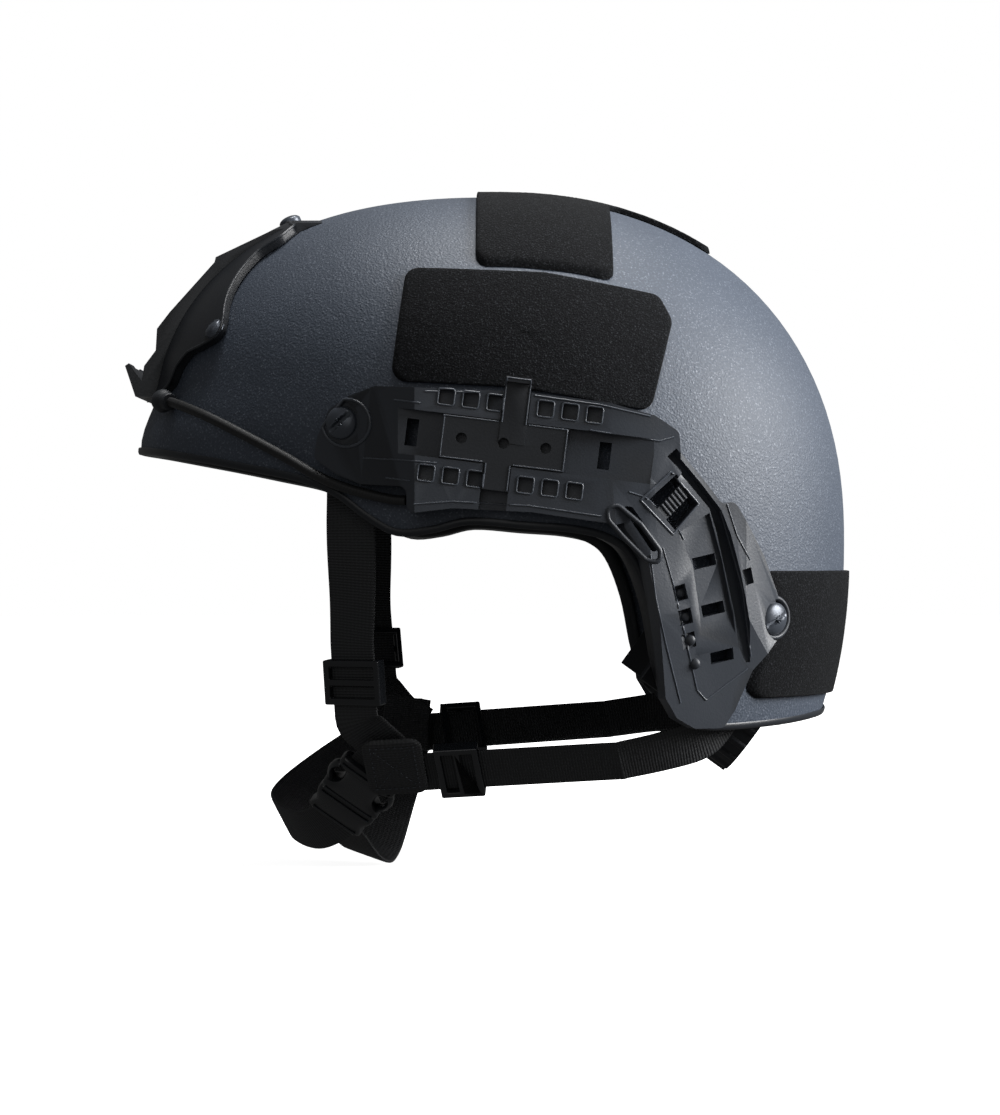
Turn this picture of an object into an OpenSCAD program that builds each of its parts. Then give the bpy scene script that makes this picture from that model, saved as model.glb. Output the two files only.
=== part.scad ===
// Bump helmet with side rails, front shroud, loop patches and a four point chin harness.
// Front is -X, the wearer's left is -Y, up is +Z. The origin is the middle of the head.

/* [Shell] */
// Length from the middle of the head to the brow, above the brim
front_len = 134; // [128:1:142]
// Length from the middle of the head to the back
rear_len = 140; // [134:1:148]
// Height of the crown above the middle of the head
crown_z = 120; // [114:1:128]
// Half width at the brow
brow_half_w = 106; // [102:1:110]
// Half width behind the ears
rear_half_w = 118; // [113:1:123]
// Thickness of the shell wall
shell_t = 7.5; // [6.5:0.5:8.5]
// How far the brim flares out past the brow
brim_flare = 6; // [3:1:8]
// Width of the rubber edging's legs
trim_leg = 4.5; // [3.5:0.5:5]
// Thickness of the rubber edging
trim_t = 0.8; // [0.6:0.1:1]

/* [Rails] */
// Height of the bars above the shell, where the rail is thinnest
rail_t = 7.5; // [7:0.5:9]
// Depth of the channel below the bars
channel_depth = 4; // [3:0.5:4.5]
// Width of the channel's mouth
channel_w = 16.5; // [15:0.5:18]
// Side of the square windows in the bars
window_w = 5.3; // [4:0.1:6]
// Spacing of the square windows
window_pitch = 9; // [8:0.5:10]
// Radius of the three holes in the channel insert
insert_hole_r = 2; // [1.5:0.1:2.4]
// Spacing of the three holes in the channel insert
insert_hole_gap = 15.5; // [13:0.5:17]
// Radius of the slotted screw heads
screw_head_r = 6.2; // [5:0.1:7]
// Radius of the screw shanks
screw_shank_r = 2.5; // [2:0.1:3]

/* [Loop patches] */
// Thickness of the loop patches
patch_t = 2.2; // [1.6:0.1:3]

/* [Shroud] */
// Thickness of the shroud's base plate
shroud_t = 3.4; // [2.5:0.1:4]
// Width of the socket in the shroud
socket_w = 24; // [20:1:28]
// Radius of the elastic cords
cord_r = 1.9; // [1.5:0.1:2.2]
// Radius of the ball on each elastic cord
ball_r = 4.6; // [4:0.1:5.5]

/* [Harness] */
// Width of the webbing
web_w = 19; // [17:0.5:20]
// Thickness of the webbing
web_t = 1.5; // [1.2:0.1:1.8]
// Width of the buckle
buckle_w = 26; // [25:0.5:28]
// Thickness of the comfort pads
pad_t = 17; // [13:1:19]

/* [Fit dial] */
// Radius of the fit dial
dial_r = 19; // [16:0.5:20]
// Thickness of the fit dial
dial_t = 9; // [7:0.5:10]
// Number of grips round the fit dial
dial_grips = 16; // [10:1:24]

/* [Hidden] */
$fn = 40;

// Clearance between pieces that sit on each other
seat = 0.3;
// Height of the widest line at the brow, and how far it drops by the back
brow_z = 20;
waist_drop = 36;
waist_run = 120;
flare_h = 26;
skirt_depth = 163;
front_power = 2.4;
rear_power = 2.25;
brow_cross = 2.05;
rear_cross = 2.25;

// The rim of the left half, as pairs of azimuth from the front and height
RIM = [
    [0, 19], [15, 18], [30, 14.5], [43, 10], [53, 6], [60, 0.5], [66, -8], [72, -14], [79, -13],
    [86, -10], [96, -11.5], [105, -13], [111, -16.5], [115, -24], [118.5, -42], [121.5, -66],
    [125.5, -82], [131, -86.5], [145, -86], [163, -84], [180, -83]
];

function unit(v) = v / norm(v);
function mix(a, b, t) = a + (b - a) * t;
function ease(t) = let (u = min(max(t, 0), 1)) u * u * (3 - 2 * u);

// Height of the widest line of the shell at a distance along it
function waist(x) = brow_z - waist_drop * ease((x + waist_run / 2) / waist_run);

// How far out a point lies, where 1 is on the skin grown by g
function reach(p, g = 0) = let (
    zc = waist(p.x),
    flare = brim_flare * (1 - ease((p.z - brow_z) / flare_h)),
    a = (p.x < 0 ? front_len + flare : rear_len) + g,
    c = (p.z > zc ? crown_z - zc : skirt_depth) + g,
    n = p.x < 0 ? front_power : rear_power,
    b = mix(brow_half_w, rear_half_w, ease((p.x + 100) / 150)) + g,
    q = mix(brow_cross, rear_cross, ease((p.x + 100) / 100)),
    side = pow(pow(abs(p.x) / a, n) + pow(abs(p.z - zc) / c, n), 1 / n)
) pow(pow(side, q) + pow(abs(p.y) / b, q), 1 / q);

// The point where a line from p along d leaves the skin grown by g
function to_skin(p, d, g = 0, lo = 0, hi = 220, n = 18) = n == 0
    ? p + d * lo
    : let (m = (lo + hi) / 2) reach(p + d * m, g) > 1
        ? to_skin(p, d, g, lo, m, n - 1)
        : to_skin(p, d, g, m, hi, n - 1);

// Points of the left side seen square on, of the top and of the back
function left_skin(x, z, g = 0) = to_skin([x, 0, z], [0, -1, 0], g);
function top_skin(x, y, g = 0) = to_skin([x, y, 0], [0, 0, 1], g);
function front_skin(y, z, g = 0) = to_skin([0, y, z], [-1, 0, 0], g);
function rear_skin(y, z, g = 0) = to_skin([0, y, z], [1, 0, 0], g);

// The direction square to the skin at a point
function skin_normal(p, g = 0, h = 0.05) = unit([
    reach(p + [h, 0, 0], g) - reach(p - [h, 0, 0], g),
    reach(p + [0, h, 0], g) - reach(p - [0, h, 0], g),
    reach(p + [0, 0, h], g) - reach(p - [0, 0, h], g)
]);

// A smooth curve through a list of points, with k steps between each pair
function curve(p, k) = [
    for (i = [0:len(p) - 2], j = [0:k - 1]) let (
        a = p[max(i - 1, 0)], b = p[i], c = p[i + 1], d = p[min(i + 2, len(p) - 1)], t = j / k
    ) 0.5 * (2 * b + (c - a) * t + (2 * a - 5 * b + 4 * c - d) * t * t
        + (3 * b - a - 3 * c + d) * t * t * t),
    p[len(p) - 1]
];

// A polygon with each corner rounded to radius r by k steps, where it turns enough to need it
function rounded(pts, r, k = 4) = [
    for (i = [0:len(pts) - 1]) let (
        n = len(pts), a = pts[(i + n - 1) % n], b = pts[i], c = pts[(i + 1) % n],
        u = unit(a - b), v = unit(c - b), half = acos(max(min(u * v, 1), -1)) / 2
    ) each half > 84 ? [b] : let (
        cut = min(r / tan(half), 0.45 * min(norm(a - b), norm(c - b))),
        arc_r = cut * tan(half), mid = b + unit(u + v) * arc_r / sin(half),
        from = b + u * cut - mid, to = b + v * cut - mid
    ) [for (j = [0:k]) mid + unit(mix(from, to, j / k)) * arc_r]
];

function mean(p, i = 0) = i == len(p) - 1 ? p[i] / len(p) : p[i] / len(p) + mean(p, i + 1);

// A solid through a row of rings with the same number of points, closed at both ends
module loft(rings, ends = []) {
    n = len(rings[0]);
    m = len(rings);
    tips = len(ends) == 2 ? ends : [mean(rings[0]), mean(rings[m - 1])];
    points = concat([for (r = rings, p = r) p], tips);
    faces = concat(
        [for (i = [0:m - 2], j = [0:n - 1], s = [0, 1]) let (
            a = i * n + j, b = i * n + (j + 1) % n, c = a + n, d = b + n
        ) s == 0 ? [a, b, d] : [a, d, c]],
        [for (j = [0:n - 1]) [m * n, (j + 1) % n, j]],
        [for (j = [0:n - 1]) [m * n + 1, (m - 1) * n + j, (m - 1) * n + (j + 1) % n]]
    );
    polyhedron(points, faces, convexity = 8);
}

// A solid through rings that come round to the first one again
module ring_loft(rings) {
    n = len(rings[0]);
    m = len(rings);
    faces = [for (i = [0:m - 1], j = [0:n - 1], s = [0, 1]) let (
        a = i * n + j, b = i * n + (j + 1) % n,
        c = ((i + 1) % m) * n + j, d = ((i + 1) % m) * n + (j + 1) % n
    ) s == 0 ? [a, b, d] : [a, d, c]];
    polyhedron([for (r = rings, p = r) p], faces, convexity = 8);
}

// Puts a child with its x axis along one direction and its z axis out of a face
module place(o, along, face) {
    x = unit(along);
    z = unit(face - (face * x) * x);
    y = cross(z, x);
    multmatrix([[x.x, y.x, z.x, o.x], [x.y, y.y, z.y, o.y], [x.z, y.z, z.z, o.z], [0, 0, 0, 1]])
        children();
}

// Puts a child at a point of the skin with its z axis square to the skin
module on_skin(p, along) {
    n = skin_normal(p);
    place(p, along - (along * n) * n, n) children();
}
module on_left(x, z, along = [1, 0, 0]) { on_skin(left_skin(x, z), along) children(); }

module both_sides() {
    children();
    mirror([0, 1, 0]) children();
}

// The shell's rim and rows
rim_half = curve(RIM, 2);
rim_n = len(rim_half);
rim_all = concat(rim_half, [for (i = [rim_n - 2:-1:1]) [360 - rim_half[i][0], rim_half[i][1]]]);
shell_rows = 16;

// The point of the skin at an azimuth and a height
function at_height(az, z, g = 0) =
    to_skin([0, 0, z], [-cos(az), -sin(az), 0], g);
// The point on the ray from the middle of the head towards the rim, at a share of the way down
function shell_point(i, s, g) = let (
    rim = at_height(rim_all[i][0], rim_all[i][1]),
    low = atan2(rim.z, norm([rim.x, rim.y])),
    el = 90 - (90 - low) * s,
    az = rim_all[i][0]
) to_skin([0, 0, 0], [-cos(az) * cos(el), -sin(az) * cos(el), sin(el)], g);

function shell_ring(s, g) = [for (i = [0:len(rim_all) - 1]) shell_point(i, s, g)];

// Where the screws pass the shell
front_screw = [-53.5, 26.5];
rear_screw = [102.5, -45.5];
shroud_top = [-79, 0];
shroud_low = [57, 63.3];

module shell_holes() {
    both_sides() {
        on_left(front_screw.x, front_screw.y) cylinder(h = 60, r = screw_shank_r + seat, center = true);
        on_left(rear_screw.x, rear_screw.y) cylinder(h = 60, r = screw_shank_r + seat, center = true);
        shroud_low_place() cylinder(h = 60, r = screw_shank_r + seat, center = true);
    }
    shroud_top_place() cylinder(h = 60, r = screw_shank_r + seat, center = true);
}

// A layer of even thickness that lies on the skin, between g0 and g1 above it
module skin_layer(g0, g1) {
    loft(
        concat(
            [for (k = [1:shell_rows]) shell_ring(k / shell_rows, g1)],
            [for (k = [shell_rows:-1:1]) shell_ring(k / shell_rows, g0)]
        ),
        [to_skin([0, 0, 0], [0, 0, 1], g1), to_skin([0, 0, 0], [0, 0, 1], g0)]
    );
}

// The room inside the shell, for feet that reach its wall
module inside() {
    wall = -shell_t - seat;
    rings = [for (k = [1:shell_rows]) shell_ring(k / shell_rows, wall)];
    loft(rings, [to_skin([0, 0, 0], [0, 0, 1], wall), [0, 0, -50]]);
}

module shell() {
    color("slategray") difference() {
        skin_layer(-shell_t, 0);
        shell_holes();
    }
}

// Rubber edging in the shape of a U over the rim, with its legs leaning off the wall a little
trim_lean = 0.4;
function trim_section(i) = let (
    n = len(rim_all),
    a = shell_point((i + n - 1) % n, 1, 0), p = shell_point(i, 1, 0), b = shell_point((i + 1) % n, 1, 0),
    q = shell_point(i, 1, -shell_t),
    out = skin_normal(p), run = unit(b - a), up = unit(cross(out, run)),
    o1 = p + out * seat, o2 = p + out * (seat + trim_t),
    i1 = q - out * seat, i2 = q - out * (seat + trim_t), top = up * trim_leg, lean = out * trim_lean
) [
    o1 + top + lean, o1 - up * seat, i1 - up * seat, i1 + top - 2 * lean,
    i2 + top - 2 * lean, i2 - up * (seat + trim_t), o2 - up * (seat + trim_t), o2 + top + lean
];

module edge_trim() {
    color("dimgray") ring_loft([for (i = [0:len(rim_all) - 1]) trim_section(i)]);
}

// Loop patches: outlines laid on the skin
SIDE_PATCH = [[20, 84], [63, 76], [68, 66], [59, 31], [10, 39.5], [-34, 42], [-37, 46], [-32, 86]];
// The crown's patch comes down to the top edges of the side ones
function edge_y(x, z) = -left_skin(x, z).y;
CROWN_EDGE = [for (p = [[-6, 85.6], [20, 84.6], [46, 79.9]]) [p.x, edge_y(p.x, p.y)]];
CROWN_PATCH = concat(
    CROWN_EDGE,
    [[46, 22], [86, 22], [86, -22], [46, -22]],
    [for (i = [2:-1:0]) [CROWN_EDGE[i].x, -CROWN_EDGE[i].y]],
    [[-6, 0]]
);
REAR_PATCH = [[-87, -25], [-45, -25], [0, -27], [45, -25], [87, -25], [86, -76], [45, -78], [0, -78],
    [-45, -78], [-86, -76]];

// Flat outlines pushed through the head from the side, from above, from the front and from the back
module side_view(depth, y) {
    translate([0, y, 0]) rotate([90, 0, 0]) linear_extrude(depth) children();
}
module top_view(depth, z) {
    translate([0, 0, z]) linear_extrude(depth) children();
}
module end_view(depth, x) {
    translate([x, 0, 0]) rotate([90, 0, 90]) linear_extrude(depth) children();
}

module side_patch_left() {
    color("black") intersection() {
        skin_layer(seat, seat + patch_t);
        side_view(90, -50) polygon(rounded(SIDE_PATCH, 5, 3));
    }
}
module side_patch_right() { mirror([0, 1, 0]) side_patch_left(); }
module crown_patch() {
    color("black") intersection() {
        skin_layer(seat, seat + patch_t);
        top_view(90, 50) polygon(rounded(CROWN_PATCH, 4, 2));
    }
}
module rear_patch() {
    color("black") difference() {
        intersection() {
            skin_layer(seat, seat + patch_t);
            end_view(110, 50) polygon(rounded(REAR_PATCH, 5, 3));
        }
        both_sides() {
            rear_frame() side_view(100, -60) offset(delta = 2 * seat) polygon(REAR_RAIL);
            on_left(rear_screw.x, rear_screw.y) cylinder(h = 40, r = screw_head_r + 3, center = true);
        }
    }
}

// Comfort pads, as cushions with a crown and drawn in sides
PAD_LEVELS = [[0.5, 0.02], [0.88, 0.03], [1, 0.3], [0.99, 0.62], [0.9, 0.86], [0.6, 0.97], [0.3, 1]];

module pad(outline, view, lean = 0) {
    mid = mean(outline);
    wall = shell_t + 0.4;
    function lift(p, t) = let (g = -wall - pad_t * t) view == "left" ? left_skin(p.x, p.y, g)
        : view == "top" ? top_skin(p.x, p.y, g)
        : view == "front" ? front_skin(p.x, p.y, g) : rear_skin(p.x, p.y, g);
    function ring(v) = [for (p = outline) lift(mid + (p - mid) * v[0], v[1])];
    color("dimgray") loft([for (i = [len(PAD_LEVELS) - 1:-1:0]) ring(PAD_LEVELS[i])],
        [lift(mid, 1.02), lift(mid, 0)]);
}

module crown_pad() {
    pad([for (a = [0:18:342]) [4 + 46 * cos(a), -40 * sin(a)]], "top");
}
module front_pad() {
    pad(rounded([[-40, 30], [40, 30], [33, 66], [-33, 66]], 12, 4), "front");
}
module rear_pad() {
    pad(rounded([[-38, -38], [-46, 6], [46, 6], [38, -38]], 12, 4), "rear");
}
TEMPLE_PAD = [[-38, 46], [10, 46], [10, 12], [-34, 12]];
BACK_PAD = [[20, 46], [72, 46], [84, 8], [86, -18], [68, -20], [54, 6], [24, 10]];
module temple_pad_left() { pad(rounded(TEMPLE_PAD, 10, 4), "left"); }
module temple_pad_right() { mirror([0, 1, 0]) temple_pad_left(); }
module back_pad_left() { pad(rounded(BACK_PAD, 9, 3), "left"); }
module back_pad_right() { mirror([0, 1, 0]) back_pad_left(); }

// Rails. The front run is drawn square on and the rear run in a frame turned to face it.
rear_turn = 25;
channel_slope = 7;
under_gap = seat + trim_t + trim_lean + seat;
// Middle of the channel insert, as seen from the side
insert_mid = [4.5, 18.7];
// The flat that the bars of the front run lie in
bar_y = left_skin(20, 5).y - rail_t;
// The flat that the bars of the rear run lie in, in the turned frame
rear_from = [22 * cos(rear_turn), 22 * sin(rear_turn), -20];
rear_v = -norm(to_skin(rear_from, [sin(rear_turn), -cos(rear_turn), 0]) - rear_from) - rail_t;

FRONT_RAIL = [
    [-53, 36.5], [-43, 40], [-26, 39], [12, 37.5], [43, 33.5], [60, 29], [69, 23], [70, 8], [58, -8],
    [46, -11], [15, -6.5], [-14, -5], [-31, -7], [-31, 3], [-48, 4], [-57, 7.5], [-66, 14],
    [-64.5, 22], [-60, 32]
];
REAR_RAIL = [
    [6, 20], [13, 18.5], [32, -3.5], [37, -2], [51, -22.5], [57, -35], [61, -45.5], [59.5, -51.5],
    [54.5, -57], [47, -65], [41, -80], [37, -86.5], [25, -86.5], [17, -82.5], [11.5, -75],
    [6, -46], [1, -24], [-7, -12], [-8, 8]
];

// A block whose outer side is the skin, under one rail
module under_rail(g) {
    az = [for (k = [0:19]) 50 + 5.5 * k];
    zs = [for (k = [0:16]) -94 + 9 * k];
    rows = len(zs);
    outer = [for (a = az) [for (z = zs) at_height(a, z, g)]];
    inner = [for (a = az) [for (z = zs) at_height(a, z, g - 60)]];
    loft([for (i = [0:len(outer) - 1]) concat(
        [for (j = [0:rows - 1]) outer[i][j]], [for (j = [rows - 1:-1:0]) inner[i][j]])]);
}

module rail_front_body() {
    intersection() {
        side_view(60, -80) polygon(rounded(FRONT_RAIL, 3, 3));
        translate([0, 0, -20]) linear_extrude(80) polygon([
            [-75, -80], [-75, left_skin(-70, 12).y - 2], [-44, left_skin(-44, 12).y - rail_t],
            [-28, bar_y], [44, bar_y], [80, left_skin(74, 5).y - rail_t - 3], [80, -80]
        ]);
    }
}

module rear_frame() { rotate([0, 0, rear_turn]) children(); }

module rail_rear_body() {
    rear_frame() intersection() {
        side_view(70, -90) polygon(rounded(REAR_RAIL, 3, 3));
        translate([-20, 0, 0]) rotate([90, 0, 90]) linear_extrude(100) polygon([
            [-90, 24], [rear_v + 3, 24], [rear_v, 4], [rear_v, -44], [rear_v + 9, -90], [-90, -90]
        ]);
        translate([0, 0, -95]) linear_extrude(130) polygon([
            [-12, -90], [-12, rear_v + 5], [2, rear_v], [42, rear_v], [64, rear_v + 6], [64, -90]
        ]);
    }
}

// The channel of the front run, in a frame along the bars
module bar_frame() {
    translate([insert_mid.x, bar_y, insert_mid.y]) rotate([0, channel_slope, 0]) children();
}

insert_l = 46;
slot_w = channel_w + 3;
tab_w = 9.6;

module channel_cut() {
    bar_frame() {
        translate([-47, -20, -channel_w / 2]) cube([102, 20 + channel_depth, channel_w]);
        translate([-insert_l / 2 - 4, 1.6, -slot_w / 2]) cube([insert_l + 8, channel_depth - 1.6, slot_w]);
        // Gaps in the bars for the insert's tabs
        translate([-2 - seat, -20, 0]) cube([tab_w + 2 * seat, 20 + channel_depth, 40]);
        translate([-6 - seat, -20, -40]) cube([tab_w + 2 * seat, 20 + channel_depth, 40]);
        // Square windows through both bars
        for (side = [-1, 1], k = [0:2]) {
            translate([side < 0 ? -25.5 + k * window_pitch : 11 + k * window_pitch, -1, 11.6])
                cube([window_w, channel_depth, window_w]);
            translate([side < 0 ? -29.5 + k * window_pitch : 7 + k * window_pitch, -1, -11.6 - window_w])
                cube([window_w, channel_depth, window_w]);
        }
        for (x = [-36, 35]) translate([x, -1, -5]) cube([4.4, 30, 10]);
    }
}

module screw_seat() {
    translate([0, 0, rail_t - 2.5]) cylinder(h = 30, r = screw_head_r + 1.8);
    cylinder(h = 60, r = screw_shank_r + seat, center = true);
}

LATCH_WINDOW = [[12, 7.5], [21.5, -3.5], [12.3, -13.2], [1.5, -1.8]];

module rear_cuts() {
    rear_frame() {
        // Deep groove along the rear bar
        side_view(2.5 + 4.5, rear_v + 4.5) polygon([
            [8.5, 14], [12, 17], [31.5, -5.5], [35.5, -14.5], [39.5, -28], [44, -48], [45.5, -62],
            [43.5, -62], [40, -56], [36, -40], [31.8, -23.5], [29.5, -14], [26.5, -5], [11.5, 11]
        ]);
        // Raised floor plate lies a little below the bars
        side_view(10, rear_v + 1.4) polygon([
            [13.5, -14], [26.5, -6.5], [29, -14.7], [31.6, -23.5], [35.5, -41], [40, -58], [43.5, -63],
            [36, -72], [29, -76], [26, -64.5], [22.5, -44], [19.5, -26]
        ]);
        for (p = [[25, -24.5], [28.7, -42], [33.4, -59.5]])
            translate([p.x, rear_v, p.y]) rotate([0, -12, 0]) cube([9.5, 30, 4.4], center = true);
        for (k = [0:3])
            translate([14.3 + 2.3 * k, rear_v, -36 - 8.8 * k]) rotate([0, -15, 0])
                cube([5.4, 6, 5.8], center = true);
        translate([43, rear_v, -30]) rotate([0, -15, 0]) cube([4.2, 6, 6], center = true);
        side_view(60, rear_v + 40) polygon(LATCH_WINDOW);
    }
    // Loop slot at the inside of the bend
    loop_slot();
}

LOOP_SLOT = [[-8.5, -4], [-4.5, -4.5], [6, -19.5], [3, -21.5]];
module loop_slot() {
    rear_frame() side_view(60, rear_v + 40) polygon(rounded(LOOP_SLOT, 1.8, 3));
}

// The rail stands clear of the edging, on a foot round each screw
module rail_foot() {
    on_left(front_screw.x, front_screw.y) cylinder(h = 40, r = screw_head_r + 3, center = true);
    on_left(rear_screw.x, rear_screw.y) cylinder(h = 40, r = screw_head_r + 3, center = true);
}

module rail_left() {
    color([0.13, 0.13, 0.14]) difference() {
        union() {
            rail_front_body();
            rail_rear_body();
        }
        under_rail(seat);
        difference() {
            under_rail(under_gap);
            rail_foot();
        }
        channel_cut();
        rear_cuts();
        on_left(front_screw.x, front_screw.y) screw_seat();
        on_left(rear_screw.x, rear_screw.y) screw_seat();
    }
}
module rail_right() { mirror([0, 1, 0]) rail_left(); }

module rail_insert_left() {
    color([0.12, 0.12, 0.13]) bar_frame() difference() {
        union() {
            translate([-insert_l / 2, 2, -channel_w / 2 - 1])
                cube([insert_l, channel_depth - 2.2, channel_w + 2]);
            translate([-insert_l / 2, -0.2, -channel_w / 2 + seat])
                cube([insert_l, 3, channel_w - 2 * seat]);
            translate([-2, -0.4, 0]) cube([tab_w, 2.4, 24.5]);
            translate([-2, -2.4, 22.5]) cube([tab_w, 2.5, 2]);
            translate([-6, -0.2, -17.5]) cube([tab_w, 2, 18]);
        }
        for (k = [-1:1]) translate([k * insert_hole_gap, -1, 0]) rotate([-90, 0, 0])
            cylinder(h = 10, r = insert_hole_r);
    }
}
module rail_insert_right() { mirror([0, 1, 0]) rail_insert_left(); }

// Ribbed tongue in the square window of the bend
module rail_tongue_left() {
    color([0.12, 0.12, 0.13]) rear_frame() translate([11.7, rear_v, -2.7]) rotate([0, 47, 0]) {
        translate([-2.8, 0.8, -6.6]) cube([5.6, 2, 13.2]);
        for (z = [-4.5:1.8:4.5]) translate([-2.8, 0.1, z]) cube([5.6, 1, 0.8]);
    }
}
module rail_tongue_right() { mirror([0, 1, 0]) rail_tongue_left(); }

// Slotted screws, with the head on the rail and the shank to the nut inside
shroud_head_r = 4.4;
module slotted_screw(head_z, inner_z, head_r = screw_head_r) {
    dome_h = 0.42 * head_r;
    dome_r = ((head_r + 0.2) ^ 2 + dome_h ^ 2) / (2 * dome_h);
    difference() {
        union() {
            intersection() {
                translate([0, 0, head_z + dome_h - dome_r]) sphere(r = dome_r);
                translate([0, 0, head_z]) cylinder(h = 4, r = head_r);
            }
            translate([0, 0, inner_z]) cylinder(h = head_z - inner_z + 0.5, r = screw_shank_r);
        }
        translate([-10, -0.8, head_z + dome_h / 2]) cube([20, 1.6, 5]);
    }
}

nut_t = 1.8;
// How far a flat piece stands off the hollow wall in its middle, so that its edges clear it
bow = 0.8;
// Depth of the middle of the webbing that lies on the wall, and of the nuts on the wall and on the webbing
strap_in = shell_t + seat + bow + web_t / 2;
wall_nut = shell_t + seat + bow;
strap_nut = strap_in + web_t / 2 + 2 * seat;

module rail_screws() {
    slot_way = [1, 0, 0.8];
    color([0.2, 0.2, 0.22]) both_sides() {
        on_left(front_screw.x, front_screw.y, slot_way)
            slotted_screw(rail_t - 2.5 + 0.2, -strap_nut - nut_t - 0.8);
        on_left(rear_screw.x, rear_screw.y, slot_way)
            slotted_screw(rail_t - 2.5 + 0.2, -strap_nut - nut_t - 0.8);
    }
}

module nut(depth) {
    difference() {
        translate([0, 0, -depth - nut_t]) cylinder(h = nut_t, r = 5);
        cylinder(h = 60, r = screw_shank_r + 0.15, center = true);
    }
}
module rail_nuts() {
    color([0.45, 0.45, 0.47]) both_sides() {
        on_left(front_screw.x, front_screw.y) nut(strap_nut);
        on_left(rear_screw.x, rear_screw.y) nut(strap_nut);
    }
}

// Shroud on the brow, with a socket for a clip-on mount
SHROUD = [
    [0, 39], [20, 40.5], [39, 41], [42, 49], [50, 55.5], [59, 58.5], [64, 60.4], [66.9, 62.5],
    [66.1, 67.5], [62.4, 74], [56.3, 84.7], [51.7, 95.5], [49, 101], [40, 106], [24, 109.5],
    [10, 110.8], [0, 111]
];
function mirrored(p) = concat(p, [for (i = [len(p) - 2:-1:1]) [-p[i].x, p[i].y]]);
SHROUD_SIDE = [
    [-60, 109], [-86, 105], [-108, 94.5], [-108.5, 92.5], [-121, 78.5], [-126, 73], [-131, 66.5],
    [-131.5, 58], [-136, 52], [-137, 46], [-142, 53], [-143.5, 52], [-139.5, 40], [-120, 40], [-60, 80]
];
// The side form is drawn for this front length and moves with it
drawn_front = 134;
front_grow = front_len - drawn_front;
module shroud_low_place() { on_skin(front_skin(-shroud_low.x, shroud_low.y), [0, 1, 0]) children(); }
module shroud_top_place() { on_skin(top_skin(shroud_top.x, 0), [0, 1, 0]) children(); }

module shroud() {
    color([0.1, 0.1, 0.11]) difference() {
        union() {
            intersection() {
                skin_layer(seat, seat + shroud_t);
                end_view(110, -160) polygon(mirrored(SHROUD));
            }
            difference() {
                rotate([90, 0, 0]) linear_extrude(62, center = true)
                    translate([-front_grow, 0]) polygon(SHROUD_SIDE);
                under_shroud(seat + 0.9);
            }
        }
        // Socket for the mount
        translate([-150, -socket_w / 2, 52]) cube([150, socket_w, 34]);
        shroud_top_place() {
            translate([0, 0, seat + shroud_t + 1]) cylinder(h = 20, r = shroud_head_r + 1);
            cylinder(h = 60, r = screw_shank_r + seat, center = true);
        }
        both_sides() shroud_low_place() {
            translate([0, 0, seat + shroud_t]) cylinder(h = 20, r = shroud_head_r + 1);
            cylinder(h = 60, r = screw_shank_r + seat, center = true);
        }
    }
}

module under_shroud(g) {
    ys = [for (k = [4:-1:-4]) 12 * k];
    zs = [for (k = [0:9]) 32 + 9 * k];
    loft([for (y = ys) concat(
        [for (z = zs) front_skin(y, z, g)], [for (j = [9:-1:0]) [20, y, zs[j]]])]);
}

module shroud_screws() {
    color([0.2, 0.2, 0.22]) {
        shroud_top_place()
            slotted_screw(seat + shroud_t + 1.2, -wall_nut - nut_t - 0.8, shroud_head_r);
        both_sides() shroud_low_place()
            slotted_screw(seat + shroud_t + 0.2, -wall_nut - nut_t - 0.8, shroud_head_r);
    }
}
module shroud_nuts() {
    color([0.45, 0.45, 0.47]) {
        shroud_top_place() nut(wall_nut);
        both_sides() shroud_low_place() nut(wall_nut);
    }
}

// Elastic cord from the shroud's corner to the rail, over the skin
BUNGEE = [[-127, 37.5], [-121, 36], [-108, 30.5], [-93, 23], [-77, 14.5], [-66, 8], [-56, 3.5], [-46, 0.5],
    [-37, -1.5], [-31.4, -2]];

function tube_ring(p, d, r, n = 8) = let (
    side = unit(cross(d, [0, 0, 1])), up = cross(side, d)
) [for (k = [0:n - 1]) p + r * (cos(360 * k / n) * side + sin(360 * k / n) * up)];

module bungee_left() {
    route = curve(BUNGEE, 2);
    n = len(route);
    function height(i) = mix(seat + ball_r, under_gap + cord_r, ease(i / 5));
    function moved(i) = route[i].x - front_grow * (1 - i / (n - 1));
    path = [for (i = [0:n - 1]) left_skin(moved(i), route[i].y, height(i))];
    color([0.1, 0.1, 0.1]) {
        loft([for (i = [0:n - 1]) tube_ring(path[i],
            unit(path[min(i + 1, n - 1)] - path[max(i - 1, 0)]), cord_r)]);
        translate(path[0]) sphere(r = ball_r);
    }
}
module bungee_right() { mirror([0, 1, 0]) bungee_left(); }

// Webbing: each row of a route is a place and the way that the strap's face looks
module webbing(route, steps = 3) {
    c = curve(route, steps);
    n = len(c);
    function pos(i) = [c[i][0], c[i][1], c[i][2]];
    function section(i) = let (
        d = unit(pos(min(i + 1, n - 1)) - pos(max(i - 1, 0))),
        f0 = [c[i][3], c[i][4], c[i][5]], f = unit(f0 - (f0 * d) * d),
        a = cross(f, d) * web_w / 2, b = f * web_t / 2
    ) [pos(i) - a + b, pos(i) + a + b, pos(i) + a - b, pos(i) - a - b];
    loft([for (i = [0:n - 1]) section(i)]);
}
function flip(p) = [p.x, -p.y, p.z];
function route_pos(r, i) = [r[i][0], r[i][1], r[i][2]];
function route_face(r, i) = [r[i][3], r[i][4], r[i][5]];
// A straight stretch from a to b, with a row close to each end so that it stays straight
function straight(a, b, face, lead = 3) = let (d = unit(b - a) * lead)
    [for (p = [a, a + d, b - d, b]) concat(p, face)];

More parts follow.
